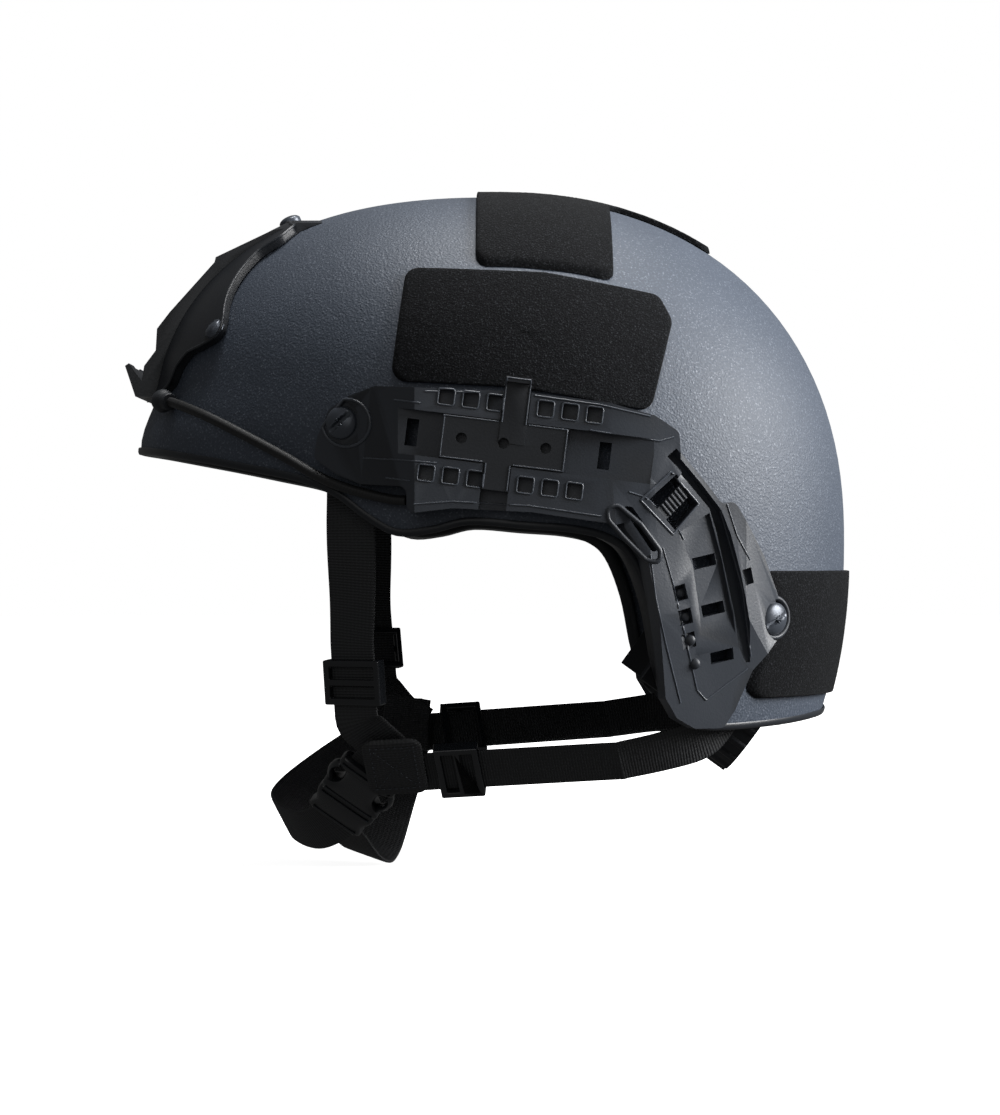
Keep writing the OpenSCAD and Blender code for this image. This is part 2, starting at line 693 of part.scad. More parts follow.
// A row of a route that lies on the hollow wall of the left side, k layers in
function on_wall(x, z, more = 0) = let (p = left_skin(x, z, -strap_in - more))
    concat(p, skin_normal(p, -strap_in - more));
past_trim = trim_t + seat;

// The sewn joins, as the middle of each plate on the left side, with the way that it looks
join_left = [-37, -73.5, -99.5];
join_right = [-37, -73.5, -91];
join_x = unit([0.987, -0.142, 0.069]);
join_z = unit(cross(cross(join_x, [-0.15, -0.74, -0.66]), join_x));
join_y = cross(join_z, join_x);
join_pitch = web_t + 1.5 * seat;
join_t = 2;
// A point of layer k below a join's plate
function in_join(j, u, v, k) =
    j + join_x * u + join_y * v - join_z * (seat + web_t / 2 + k * join_pitch);
function join_row(j, u, v, k) = concat(in_join(j, u, v, k), join_z);

front_face = [-0.5, -0.87, 0];
// Routes of the straps, all given on the left side
function front_route(j, a, b) = concat(
    [for (z = [36, 26, 16]) on_wall(front_screw.x, z)],
    [on_wall(front_screw.x + 0.4, 8, past_trim), on_wall(front_screw.x + 0.6, 1, past_trim)],
    [[-52.4, left_skin(-52, 0).y + 11, -16, -0.2, -1, 0], [-52.2, -86.5, -38, -0.4, -0.9, 0]],
    straight(a, b, front_face),
    [join_row(j, -5, 7, 1), join_row(j, 3, -7, 1)]
);
function rear_route(j, drop) = concat(
    [on_wall(104, -34), on_wall(102.3, -46), on_wall(99, -58), on_wall(95, -70)],
    [on_wall(90, -80, past_trim + 2.3)],
    [[81, -75.5, -90 + drop * 0.4, 0.4, -0.85, -0.35], [67, -79, -95.5 + drop * 0.8, 0.1, -0.8, -0.6]],
    straight(in_join(j, 84.5, -9, 0), in_join(j, 9, -8.5, 0), join_z),
    [join_row(j, -9, -8, 0)]
);
FRONT_STRAP_LEFT = front_route(join_left, [-52.5, -83, -55], [-50.8, -80.2, -85]);
FRONT_STRAP_RIGHT = front_route(join_right, [-51.5, -84.5, -47], [-48.8, -80, -76]);
REAR_STRAP_LEFT = rear_route(join_left, 0);
REAR_STRAP_RIGHT = rear_route(join_right, 8.7);
// Where the straight stretch of each route starts
front_straight = 8;
rear_straight = 8;

module anchored(route, hole) {
    color([0.08, 0.08, 0.08]) difference() {
        webbing(route);
        on_left(hole.x, hole.y) cylinder(h = 40, r = screw_shank_r + seat, center = true);
    }
}
module front_strap_left() { anchored(FRONT_STRAP_LEFT, front_screw); }
module front_strap_right() { mirror([0, 1, 0]) anchored(FRONT_STRAP_RIGHT, front_screw); }
module rear_strap_left() { anchored(REAR_STRAP_LEFT, rear_screw); }
module rear_strap_right() { mirror([0, 1, 0]) anchored(REAR_STRAP_RIGHT, rear_screw); }

// Three-bar slider round a strap, with the strap along x and its face along z
slider_l = 17;
slider_t = 5;
bar_w = 2.6;
module slider() {
    gap = web_t + 2 * seat;
    w = web_w + 2 * seat;
    window = (slider_l - 3 * bar_w) / 2;
    difference() {
        cube([slider_l, w + 2 * bar_w, slider_t], center = true);
        cube([slider_l + 1, w, gap], center = true);
        for (s = [-1, 1]) translate([s * (window + bar_w) / 2, 0, slider_t])
            cube([window, w, 2 * slider_t], center = true);
        translate([0, 0, -slider_t]) cube([2 * window + bar_w, w, 2 * slider_t], center = true);
    }
}
// A slider on the straight stretch of a route that starts at row i, at a share t of its length
module slider_on(route, i, t) {
    a = route_pos(route, i);
    b = route_pos(route, i + 1);
    color([0.12, 0.12, 0.12]) place(mix(a, b, t), b - a, route_face(route, i)) slider();
}
module front_slider_left() { slider_on(FRONT_STRAP_LEFT, front_straight, 0.5); }
module front_slider_right() { mirror([0, 1, 0]) slider_on(FRONT_STRAP_RIGHT, front_straight, 0.5); }
module rear_slider_left() { slider_on(REAR_STRAP_LEFT, rear_straight, 0.83); }
module rear_slider_right() { mirror([0, 1, 0]) slider_on(REAR_STRAP_RIGHT, rear_straight, 0.83); }

// Plates sewn over the ends of the straps
module join(j) {
    color([0.09, 0.09, 0.09]) place(j, join_x, join_z)
        linear_extrude(join_t) polygon(rounded([[-12, -17], [11, -17], [12, 11], [-11, 11]], 4, 3));
}
module strap_join_left() { join(join_left); }
module strap_join_right() { mirror([0, 1, 0]) join(join_right); }

// Side release buckle, along its own x axis
buckle_from = [-46, -55, -105];
buckle_dir = unit([-0.405, 0.753, -0.516]);
buckle_face = unit(cross(cross(buckle_dir, [-0.403, -0.654, -0.637]), buckle_dir));
buckle_t = 8;
socket_l = 22;
plug_l = 15;
// How deep the webbing goes into the ends of the buckle
pocket_l = 4.5;
module buckle_frame() { place(buckle_from, buckle_dir, buckle_face) children(); }
function in_buckle(u, w) = concat(buckle_from + buckle_dir * u + buckle_face * w, buckle_face);
plug_end = socket_l + seat + plug_l;
band_off = (web_t + seat) / 2;

module chin_tab() {
    color([0.08, 0.08, 0.08]) webbing([join_row(join_left, 5, 4, 2), join_row(join_left, -3, -6, 2),
        in_buckle(-5, 0), in_buckle(-1, 0), in_buckle(pocket_l - seat, 0)]);
}
function far_row(u, v, k) = let (p = in_join(join_right, u, v, k)) concat(flip(p), flip(join_z));
CHIN_FRONT = [
    for (u = [seat - pocket_l, 1, 4]) in_buckle(plug_end + u, band_off),
    [-71.6, -16.3, -130.7, -0.62, -0.5, -0.6], [-79.5, -6, -129.5, -0.8, -0.25, -0.5],
    [-84.5, 5, -126, -0.9, 0.05, -0.42], [-80, 20, -120, -0.75, 0.45, -0.45],
    [-68, 36, -111, -0.6, 0.65, -0.45],
    [-53.5, 53.5, -101.5, -0.4, 0.7, -0.5], far_row(-5, -7, 2.2), far_row(4, 5, 2.2)
];
CHIN_UNDER = [
    for (u = [seat - pocket_l, 1, 4]) in_buckle(plug_end + u, -band_off),
    [-57.4, -12.6, -132.8, -0.35, -0.4, -0.85], [-50.5, 1, -141.6, -0.3, 0, -0.95],
    [-46, 18, -138.5, -0.3, 0.5, -0.8], [-41, 37, -122, -0.3, 0.75, -0.6],
    [-36.4, 50, -104.5, -0.2, 0.78, -0.55],
    far_row(-1, -8, 3.3), far_row(2, 5, 3.3)
];
module chin_front_band() { color([0.08, 0.08, 0.08]) webbing(CHIN_FRONT); }
module chin_under_band() { color([0.08, 0.08, 0.08]) webbing(CHIN_UNDER); }

buckle_wall = 1.6;
lug_from = 9.6;
tongue_half = 2.5;
module buckle_socket() {
    inner_w = buckle_w - 4;
    inner_t = buckle_t - 2 * buckle_wall;
    color([0.1, 0.1, 0.1]) buckle_frame() difference() {
        translate([0, -buckle_w / 2, -buckle_t / 2]) cube([socket_l, buckle_w, buckle_t]);
        translate([6, -inner_w / 2, -inner_t / 2]) cube([30, inner_w, inner_t]);
        translate([-1, -web_w / 2 - seat, -web_t / 2 - seat])
            cube([pocket_l + 1, web_w + 2 * seat, web_t + 2 * seat]);
        for (s = [-1, 1]) translate([lug_from - 1.1, s * buckle_w / 2 - 4, -inner_t / 2])
            cube([9, 8, inner_t]);
    }
}
module buckle_plug() {
    w = buckle_w - 2;
    t = buckle_t - 1.6;
    pair_t = 2 * web_t + 4 * seat;
    color([0.1, 0.1, 0.1]) buckle_frame() difference() {
        union() {
            translate([socket_l + seat, -w / 2, -t / 2]) cube([plug_l, w, t]);
            translate([lug_from - 0.6, -tongue_half, -1.8])
                cube([socket_l + 2 - lug_from, 2 * tongue_half, 3.6]);
        }
        translate([plug_end - pocket_l, -web_w / 2 - seat, -pair_t / 2])
            cube([pocket_l + 1, web_w + 2 * seat, pair_t]);
        for (s = [-1, 1]) translate([socket_l - 1, s * 8 - 3.2, -2.4]) cube([4.7, 6.4, 4.8]);
    }
}
module prong() {
    translate([lug_from, 6, -1.9]) cube([socket_l + 3.4 - lug_from, 3.2, 3.8]);
    translate([lug_from, 9, -1.9]) cube([6, 1.7, 3.8]);
}
module prong_upper() { color([0.1, 0.1, 0.1]) buckle_frame() prong(); }
module prong_lower() { color([0.1, 0.1, 0.1]) buckle_frame() mirror([0, 1, 0]) prong(); }

// Fit dial at the nape, and the band that it draws in
dial_mid = [96.7, 0, -87.7];
dial_axis = unit([0.81, 0, -0.586]);
dial_up = unit([0.586, 0, 0.81]);
band_r = rear_half_w + 12;
band_depth = 6;
band_mid = dial_mid - (band_depth + band_r) * dial_axis;
band_w = 17;
band_t = 1.8;
tongue_w = 5;
pinion_r = 3.2;
tongue_off = pinion_r + seat + tongue_w / 2;
housing_t = 9;
arm_end = 46;
arm_root = 17;
module dial_frame() { place(dial_mid, dial_up, dial_axis) children(); }
// In this frame z is the band's axis and x points at the dial
module band_frame() { place(band_mid, dial_axis, dial_up) children(); }

module arc_band(from, to, h, w, t = band_t, r = band_r) {
    rotate([0, 0, from]) rotate_extrude(angle = to - from, $fn = 96)
        translate([r, h - w / 2]) square([t, w]);
}
// One row of an arm: its angle on the band, its height and its width
function arm_row(angle, h, w) = [
    for (c = [[-1, -1], [1, -1], [1, 1], [-1, 1]]) let (r = band_r + (1 + c.x) * band_t / 2)
        [r * cos(angle), r * sin(angle), h + c.y * w / 2]
];
arm_steps = 10;
tongue_steps = 7;
tongue_end = 3;
shoulder = 1.5;

module nape_arm_left() {
    color([0.15, 0.15, 0.16]) band_frame() loft(concat(
        [for (i = [0:arm_steps]) arm_row(mix(-arm_end, -arm_root, i / arm_steps), 0, band_w)],
        [for (i = [0:tongue_steps])
            arm_row(mix(shoulder - arm_root, tongue_end, i / tongue_steps), tongue_off, tongue_w)]
    ));
}
module nape_arm_right() {
    color([0.15, 0.15, 0.16]) band_frame() loft(concat(
        [for (i = [0:tongue_steps])
            arm_row(mix(-tongue_end, arm_root - shoulder, i / tongue_steps), -tongue_off, tongue_w)],
        [for (i = [0:arm_steps]) arm_row(mix(arm_root, arm_end, i / arm_steps), 0, band_w)]
    ));
}

module nape_housing() {
    box_w = 2 * tongue_off + tongue_w + 4;
    color([0.13, 0.13, 0.14]) difference() {
        union() {
            dial_frame() {
                translate([0, 0, -housing_t - 0.5]) cylinder(h = housing_t, r = dial_r - 2);
                translate([-box_w / 2, -22, -housing_t - 0.5]) cube([box_w, 44, housing_t]);
                // Hanger that reaches past the dial
                translate([8, -9, -housing_t - 0.5]) cube([dial_r - 2, 18, 4]);
            }
            intersection() {
                translate([98, -9, -67]) cube([40, 18, 4]);
                inside();
            }
        }
        band_frame() arc_band(-30, 30, 0, 2 * tongue_off + tongue_w + 2 * seat,
            band_t + 2 * seat, band_r - seat);
        dial_frame() cylinder(h = 40, r = pinion_r + 0.1, center = true);
    }
}
module nape_pad() {
    color("dimgray") dial_frame() translate([0, 0, -housing_t - 0.5 - seat - 6]) linear_extrude(6)
        polygon(rounded([[-17, -24], [-17, 24], [17, 24], [17, -24]], 10, 4));
}
module fit_dial() {
    grip_r = 1.6;
    color([0.1, 0.1, 0.1]) dial_frame() difference() {
        union() {
            cylinder(h = dial_t, r = dial_r - 1);
            for (k = [0:dial_grips - 1]) rotate([0, 0, 360 * k / dial_grips])
                translate([dial_r - grip_r, 0, 0.4]) cylinder(h = dial_t - 0.8, r = grip_r, $fn = 16);
        }
        translate([0, 0, dial_t - 1.5]) cylinder(h = 3, r = dial_r - 5);
    }
}
module dial_pinion() {
    color([0.3, 0.3, 0.3]) dial_frame()
        translate([0, 0, -housing_t]) cylinder(h = housing_t - 0.2, r = pinion_r);
}
// Guides for the arms, each with a foot on the wall
guide_at = 38;
module arm_guide() {
    difference() {
        intersection() {
            band_frame() {
                arc_band(-guide_at - 2, -guide_at + 2, 0, band_w + 4, band_t + 3.6, band_r - 1.8);
                arc_band(-guide_at - 2, -guide_at + 2, 5, 10, 24);
            }
            inside();
        }
        band_frame() arc_band(-guide_at - 8, -guide_at + 8, 0, band_w + 2 * seat,
            band_t + 2 * seat, band_r - seat);
    }
}
module arm_guides() { color([0.15, 0.15, 0.16]) both_sides() arm_guide(); }

shell();
edge_trim();
crown_pad();
front_pad();
rear_pad();
temple_pad_left();
temple_pad_right();
back_pad_left();
back_pad_right();
side_patch_left();
side_patch_right();
crown_patch();
rear_patch();
rail_left();
rail_right();
rail_insert_left();
rail_insert_right();
rail_tongue_left();
rail_tongue_right();
rail_screws();
rail_nuts();
shroud();
shroud_screws();
shroud_nuts();
bungee_left();
bungee_right();
front_strap_left();
front_strap_right();
rear_strap_left();
rear_strap_right();
front_slider_left();
front_slider_right();
rear_slider_left();
rear_slider_right();
strap_join_left();
strap_join_right();
chin_tab();
chin_front_band();
chin_under_band();
buckle_socket();
buckle_plug();
prong_upper();
prong_lower();
nape_housing();
nape_pad();
nape_arm_left();
nape_arm_right();
arm_guides();
fit_dial();
dial_pinion();
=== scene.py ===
# %% [markdown]
# A helmet with side rails, dressed over its solid frame.
# The frame comes from a CAD model: its hard pieces are right in size and place but plain.
# The lesson dresses them one after another: camera and cords first, then the shell, its edging
# and the loop patches, the hard pieces with their screws and fine lines, the harness with its
# buckle, the pads and the nape band, and the light last.
# Places are written in millimetres and turned into metres where a mesh is made.
# Every new piece is moved by the solid body that carries it.

# %% Load the frame
import math
import bpy
import bmesh
from mathutils import Matrix, Vector, noise
from mathutils.bvhtree import BVHTree


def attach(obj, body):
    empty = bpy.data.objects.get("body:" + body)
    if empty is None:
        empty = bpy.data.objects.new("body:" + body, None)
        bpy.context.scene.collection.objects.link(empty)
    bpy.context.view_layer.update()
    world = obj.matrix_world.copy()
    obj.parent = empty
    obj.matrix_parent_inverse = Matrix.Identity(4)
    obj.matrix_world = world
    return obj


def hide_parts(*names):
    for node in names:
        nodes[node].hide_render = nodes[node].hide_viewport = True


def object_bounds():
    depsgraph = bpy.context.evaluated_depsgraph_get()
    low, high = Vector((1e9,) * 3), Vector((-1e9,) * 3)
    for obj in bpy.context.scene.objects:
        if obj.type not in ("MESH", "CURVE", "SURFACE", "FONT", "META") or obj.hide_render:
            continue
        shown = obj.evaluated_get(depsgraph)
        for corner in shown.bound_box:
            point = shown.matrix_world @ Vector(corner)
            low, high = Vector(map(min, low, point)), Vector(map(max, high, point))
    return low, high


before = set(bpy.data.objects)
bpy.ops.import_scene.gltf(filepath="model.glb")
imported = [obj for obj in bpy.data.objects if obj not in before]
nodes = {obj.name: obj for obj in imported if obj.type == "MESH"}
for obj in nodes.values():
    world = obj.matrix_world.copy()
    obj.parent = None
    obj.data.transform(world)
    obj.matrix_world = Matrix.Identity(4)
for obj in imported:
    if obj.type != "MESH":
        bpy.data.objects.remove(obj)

MM = 0.001
cad_low, cad_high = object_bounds()

# %% [markdown]
# The camera stands where the photographer stood: level, square to the left side and 1.4 m away.
# A long lens keeps the near and the far straps almost the same size, as in the photograph.
# Setting it first means that every later piece can be judged through it.

# %% Camera
EYE = Vector((3.2, -1400, -23))
camera = bpy.data.objects.new("camera", bpy.data.cameras.new("camera"))
bpy.context.scene.collection.objects.link(camera)
camera.location = EYE * MM
camera.rotation_euler = (math.radians(90), 0, 0)
camera.data.sensor_fit = "VERTICAL"
camera.data.sensor_height = 36
camera.data.lens = 113
bpy.context.scene.camera = camera
print("camera at", [round(c, 3) for c in camera.location])

# %% [markdown]
# Nearly everything on a helmet lies on its skin, so the skin is written once as a rule:
# a number that is 1 on the surface, less inside and more outside. It is a rounded box in which
# the front, the back, the top and the skirt each have their own length.
# Any point is then put on the skin by walking outwards until the number reaches 1.
# A sculpted mesh could do it too, but a rule has no facets, and straps and patches can follow it.

# %% The skin as a rule
FRONT_LEN, REAR_LEN, CROWN_Z = 134, 140, 120
BROW_HALF_W, REAR_HALF_W, SHELL_T = 106, 118, 7.5
BRIM_FLARE, FLARE_H, BROW_Z, WAIST_DROP, SKIRT = 6, 26, 20, 36, 163
FRONT_POWER, REAR_POWER, BROW_POWER, BACK_POWER = 2.4, 2.25, 2.05, 2.25
SEAT = 0.3


def ease(t):
    u = min(max(t, 0), 1)
    return u * u * (3 - 2 * u)


def mix(a, b, t):
    return a + (b - a) * t


def waist(x):
    return BROW_Z - WAIST_DROP * ease((x + 60) / 120)


def reach(p, g=0):
    zc = waist(p.x)
    flare = BRIM_FLARE * (1 - ease((p.z - BROW_Z) / FLARE_H))
    a = (FRONT_LEN + flare if p.x < 0 else REAR_LEN) + g
    c = (CROWN_Z - zc if p.z > zc else SKIRT) + g
    n = FRONT_POWER if p.x < 0 else REAR_POWER
    b = mix(BROW_HALF_W, REAR_HALF_W, ease((p.x + 100) / 150)) + g
    q = mix(BROW_POWER, BACK_POWER, ease((p.x + 100) / 100))
    side = ((abs(p.x) / a) ** n + (abs(p.z - zc) / c) ** n) ** (1 / n)
    return (side ** q + (abs(p.y) / b) ** q) ** (1 / q)


def to_skin(p, d, g=0):
    p, d, lo, hi = Vector(p), Vector(d), 0, 220
    for _ in range(20):
        m = (lo + hi) / 2
        lo, hi = (lo, m) if reach(p + d * m, g) > 1 else (m, hi)
    return p + d * lo


def left_skin(x, z, g=0):
    return to_skin((x, 0, z), (0, -1, 0), g)


def top_skin(x, y, g=0):
    return to_skin((x, y, 0), (0, 0, 1), g)


def front_skin(y, z, g=0):
    return to_skin((0, y, z), (-1, 0, 0), g)


def rear_skin(y, z, g=0):
    return to_skin((0, y, z), (1, 0, 0), g)


def skin_normal(p, g=0, h=0.05):
    steps = [Vector((h, 0, 0)), Vector((0, h, 0)), Vector((0, 0, h))]
    return Vector([reach(p + s, g) - reach(p - s, g) for s in steps]).normalized()


print("crown height", round(top_skin(0, 0).z, 1), "side at the ear", round(left_skin(20, 5).y, 1))

# %% [markdown]
# Straps, cords and rims all run through a few measured places. A smooth curve through them
# gives as many rows as a piece needs. Each row may carry more than a place,
# such as the way that a strap's face looks, and the same curve smooths that too.

# %% Curves through measured places
def curve(rows, steps):
    out = []
    for i in range(len(rows) - 1):
        a, b, c, d = (rows[max(i - 1, 0)], rows[i], rows[i + 1], rows[min(i + 2, len(rows) - 1)])
        for j in range(steps):
            t = j / steps
            out.append([0.5 * (2 * q + (r - p) * t + (2 * p - 5 * q + 4 * r - s) * t * t
                               + (3 * q - p - 3 * r + s) * t ** 3) for p, q, r, s in zip(a, b, c, d)])
    return out + [list(rows[-1])]


def flip(p):
    return [p[0], -p[1], p[2]] + ([p[3], -p[4], p[5]] if len(p) > 3 else [])


# %% [markdown]
# One helper makes most of the soft and curved pieces. It starts from a flat grid and moves each
# of its points to a place that a short rule gives, as cloth is pulled over a form.
# Where two sides of the grid meet they are merged, so that a grid can become a tube or a bag.
# The grid also keeps how far each point lies across and along the piece, in metres,
# which the weave of a fabric needs later to follow every bend.
# The other helpers turn a round piece, mirror one, gather many into one, give the outline
# of a rounded band, catch rays on a solid, and stand a piece on a surface.

# %% A grid that is bent to its place
WELD_M = 0.000005


def keep(bm, name, body, smooth=40, finish=None):
    mesh = bpy.data.meshes.new(name)
    bm.to_mesh(mesh)
    bm.free()
    for face in mesh.polygons:
        face.use_smooth = True
    mesh.set_sharp_from_angle(angle=math.radians(smooth))
    piece = bpy.data.objects.new(name, mesh)
    bpy.context.scene.collection.objects.link(piece)
    if finish:
        mesh.materials.append(finish)
    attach(piece, body)
    return piece


def bent_grid(across, along, place, lay=None, caps=True):
    bm = bmesh.new()
    bmesh.ops.create_grid(bm, x_segments=across, y_segments=along, size=1)
    uv = bm.loops.layers.uv.new("Lay")
    for face in bm.faces:
        for loop in face.loops:
            s, t = (loop.vert.co.x + 1) / 2, (loop.vert.co.y + 1) / 2
            loop[uv].uv = lay(s, t) if lay else (s, t)
    for vert in bm.verts:
        vert.co = Vector(place((vert.co.x + 1) / 2, (vert.co.y + 1) / 2)) * MM
    bmesh.ops.remove_doubles(bm, verts=bm.verts[:], dist=WELD_M)
    if caps:
        bmesh.ops.holes_fill(bm, edges=[e for e in bm.edges if e.is_boundary], sides=0)
    bmesh.ops.recalc_face_normals(bm, faces=bm.faces[:])
    return bm


def turned(profile, steps=32):
    bm = bmesh.new()
    verts = [bm.verts.new((r * MM, 0, z * MM)) for r, z in profile]
    edges = [bm.edges.new(pair) for pair in zip(verts, verts[1:])]
    bmesh.ops.spin(bm, geom=verts + edges, cent=(0, 0, 0), axis=(0, 0, 1), angle=math.tau,
                   steps=steps, use_merge=True, use_duplicate=False)
    bmesh.ops.remove_doubles(bm, verts=bm.verts[:], dist=WELD_M)
    bmesh.ops.recalc_face_normals(bm, faces=bm.faces[:])
    return bm


def mirror_across(bm):
    bmesh.ops.transform(bm, matrix=Matrix.Diagonal((1, -1, 1, 1)), verts=bm.verts[:])
    bmesh.ops.reverse_faces(bm, faces=bm.faces[:])
    return bm


def both_sides(bm):
    return ("left", bm.copy()), ("right", mirror_across(bm))


def gathered(parts):
    whole = bmesh.new()
    for part in parts:
        flat = bpy.data.meshes.new("part")
        part.to_mesh(flat)
        part.free()
        whole.from_mesh(flat)
        bpy.data.meshes.remove(flat)
    return whole


def oval(turn, across, up):
    c, q = math.cos(turn), math.sin(turn)
    return math.copysign(abs(c) ** across, c), math.copysign(abs(q) ** up, q)


def solid_tree(*names):
    solid = bmesh.new()
    for name in names:
        solid.from_mesh(nodes[name].data)
    tree = BVHTree.FromBMesh(solid)
    solid.free()
    return tree


def stand(at_mm, along, face):
    x = Vector(along).normalized()
    z = Vector(face)
    z = (z - z.dot(x) * x).normalized()
    y = z.cross(x)
    turn = Matrix((x, y, z)).transposed().to_4x4()
    return Matrix.Translation(Vector(at_mm) * MM) @ turn


print("grid, turning and mirror helpers ready")

# %% [markdown]
# A finish in Blender is a net of nodes, which is tedious to write link by link.
# A small class wraps a socket, so that sums of sockets are written like sums of numbers,
# and a second one adds any other node from its type, its settings and its inputs.
# Only colour, roughness, metal, coat and bumps may vary over a surface here,
# because those are what a baked picture can keep.

# %% Writing finishes as sums
class Wire:
    def __init__(self, finish, socket):
        self.finish, self.socket = finish, socket

    def sum(self, kind, a, b=None):
        return self.finish.node("ShaderNodeMath", {"operation": kind}, {0: a} if b is None else {0: a, 1: b})

    def __add__(self, b): return self.sum("ADD", self, b)
    def __radd__(self, b): return self.sum("ADD", b, self)
    def __sub__(self, b): return self.sum("SUBTRACT", self, b)
    def __rsub__(self, b): return self.sum("SUBTRACT", b, self)
    def __mul__(self, b): return self.sum("MULTIPLY", self, b)
    def __rmul__(self, b): return self.sum("MULTIPLY", b, self)
    def sine(self): return self.sum("SINE", self)
    def between(self, low, high):
        return self.finish.node("ShaderNodeMapRange", {"clamp": True}, {"Value": self, 1: low, 2: high})


class Finish:
    def __init__(self, name, **fixed):
        self.material = bpy.data.materials.new(name)
        self.material.use_nodes = True
        self.tree = self.material.node_tree
        self.shader = self.tree.nodes["Principled BSDF"]
        for key, value in fixed.items():
            self.shader.inputs[key.replace("_", " ")].default_value = value

    def join(self, socket, value):
        if isinstance(value, Wire):
            self.tree.links.new(value.socket, socket)
        else:
            socket.default_value = value

    def node(self, kind, settings=None, inputs=None, out=0):
        made = self.tree.nodes.new(kind)
        for key, value in (settings or {}).items():
            setattr(made, key, value)
        for key, value in (inputs or {}).items():
            self.join(made.inputs[key], value)
        return Wire(self, made.outputs[out])

    def place(self):
        return self.node("ShaderNodeTexCoord", out="Object")

    def lay(self):
        uv = self.node("ShaderNodeUVMap", {"uv_map": "Lay"})
        split = self.tree.nodes.new("ShaderNodeSeparateXYZ")
        self.join(split.inputs[0], uv)
        return Wire(self, split.outputs[0]), Wire(self, split.outputs[1])

    def cloud(self, size_mm, detail=2, rough=0.5):
        return self.node("ShaderNodeTexNoise", {}, {"Vector": self.place(), "Scale": 1000 / size_mm,
                                                    "Detail": detail, "Roughness": rough})

    def cells(self, size_mm, feature="F1"):
        return self.node("ShaderNodeTexVoronoi", {"feature": feature},
                         {"Vector": self.place(), "Scale": 1000 / size_mm})

    def blend(self, share, a, b):
        made = self.tree.nodes.new("ShaderNodeMix")
        made.data_type = "RGBA"
        for index, value in ((0, share), (6, a), (7, b)):
            self.join(made.inputs[index], value)
        return Wire(self, made.outputs[2])

    def bump(self, height, depth_mm):
        return self.node("ShaderNodeBump", {}, {"Height": height, "Distance": depth_mm * MM, "Strength": 1.0})

    def wear(self, **sockets):
        for key, value in sockets.items():
            self.join(self.shader.inputs[key.replace("_", " ")], value)
        return self.material


def grey(value, blue=0.0):
    return (value * (1 - blue * 0.35), value * (1 - blue * 0.1), value * (1 + blue * 0.35), 1)


print("finish writer ready")

# %% [markdown]
# The elastic cords run from a ball at each lower corner of the front shroud, over the brow,
# to the lower front end of the rails. Real ones are thin rubber strands in a braided sleeve.
# The braid is drawn by the finish from the cord's own lay, so that it turns with the cord,
# and the tube is the bent grid closed round into a pipe. The ball is turned like a bead.

# %% Braided cord finish
def braided(name):
    cord = Finish(name, Roughness=0.55, Specular_IOR_Level=0.4)
    across, along = cord.lay()
    strands, repeat_m = 4, 0.0032
    turns = across * math.tau * strands
    pitch = along * (math.tau / repeat_m)
    one = (turns + pitch).sine()
    two = (turns - pitch).sine()
    mask = one * two * 0.5 + 0.5
    dust = cord.cloud(6)
    colour = cord.blend(mask * 0.5 + dust * 0.5, grey(0.007), grey(0.018, 0.2))
    return cord.wear(Base_Color=colour, Normal=cord.bump(mask, 0.07))


cord_finish = braided("braided cord")
print("finish made:", cord_finish.name)

# %% Elastic cords
BUNGEE = [[-127, 37.5], [-121, 36], [-108, 30.5], [-93, 23], [-77, 14.5], [-66, 8], [-56, 3.5], [-46, 0.5],
          [-37, -1.5], [-31.4, -2]]
CORD_R, BALL_R, UNDER_GAP, SINK_ROWS = 1.9, 4.6, 1.8, 15
cord_route = curve(BUNGEE, 6)
cord_path = [left_skin(x, z, mix(SEAT + BALL_R, UNDER_GAP + CORD_R, ease(i / SINK_ROWS)))
             for i, (x, z) in enumerate(cord_route)]


def pipe(path, radius, round_steps=14):
    length = sum((b - a).length for a, b in zip(path, path[1:]))

    def place(s, t):
        i = round(t * (len(path) - 1))
        run = (path[min(i + 1, len(path) - 1)] - path[max(i - 1, 0)]).normalized()
        side = run.cross(Vector((0, 0, 1))).normalized()
        up = side.cross(run)
        return path[i] + (math.cos(s * math.tau) * side + math.sin(s * math.tau) * up) * radius

    return bent_grid(round_steps, len(path) - 1, place, lambda s, t: (s, t * length * MM))


def bead(start, run):
    profile = [(0, -4.6), (2.4, -4.0), (4.1, -2.2), (4.6, 0), (4.1, 2.1), (3.5, 3.0), (3.3, 3.6), (3.3, 6.0),
               (3.0, 6.4), (2.0, 6.5), (0, 6.5)]
    bm = turned(profile, 36)
    bmesh.ops.transform(bm, matrix=stand(start, Vector(run).cross(Vector((0, 1, 0))), run), verts=bm.verts[:])
    return bm


print("cord length, mm", round(sum((b - a).length for a, b in zip(cord_path, cord_path[1:]))))


# %% [markdown]
# Moulded plastic is rarely plain: it has a fine pebble from the mould, a slow change of shade
# and edges rubbed smooth by hands. Its sharp edges are lightened in colour, partly as that wear and
# partly as a painted highlight for the line of light an edge catches. One writer makes all of the
# dark plastics, and each piece gets its own shade, roughness and size of pebble.

# %% Moulded plastic finish
BLUE_TINT = 0.48


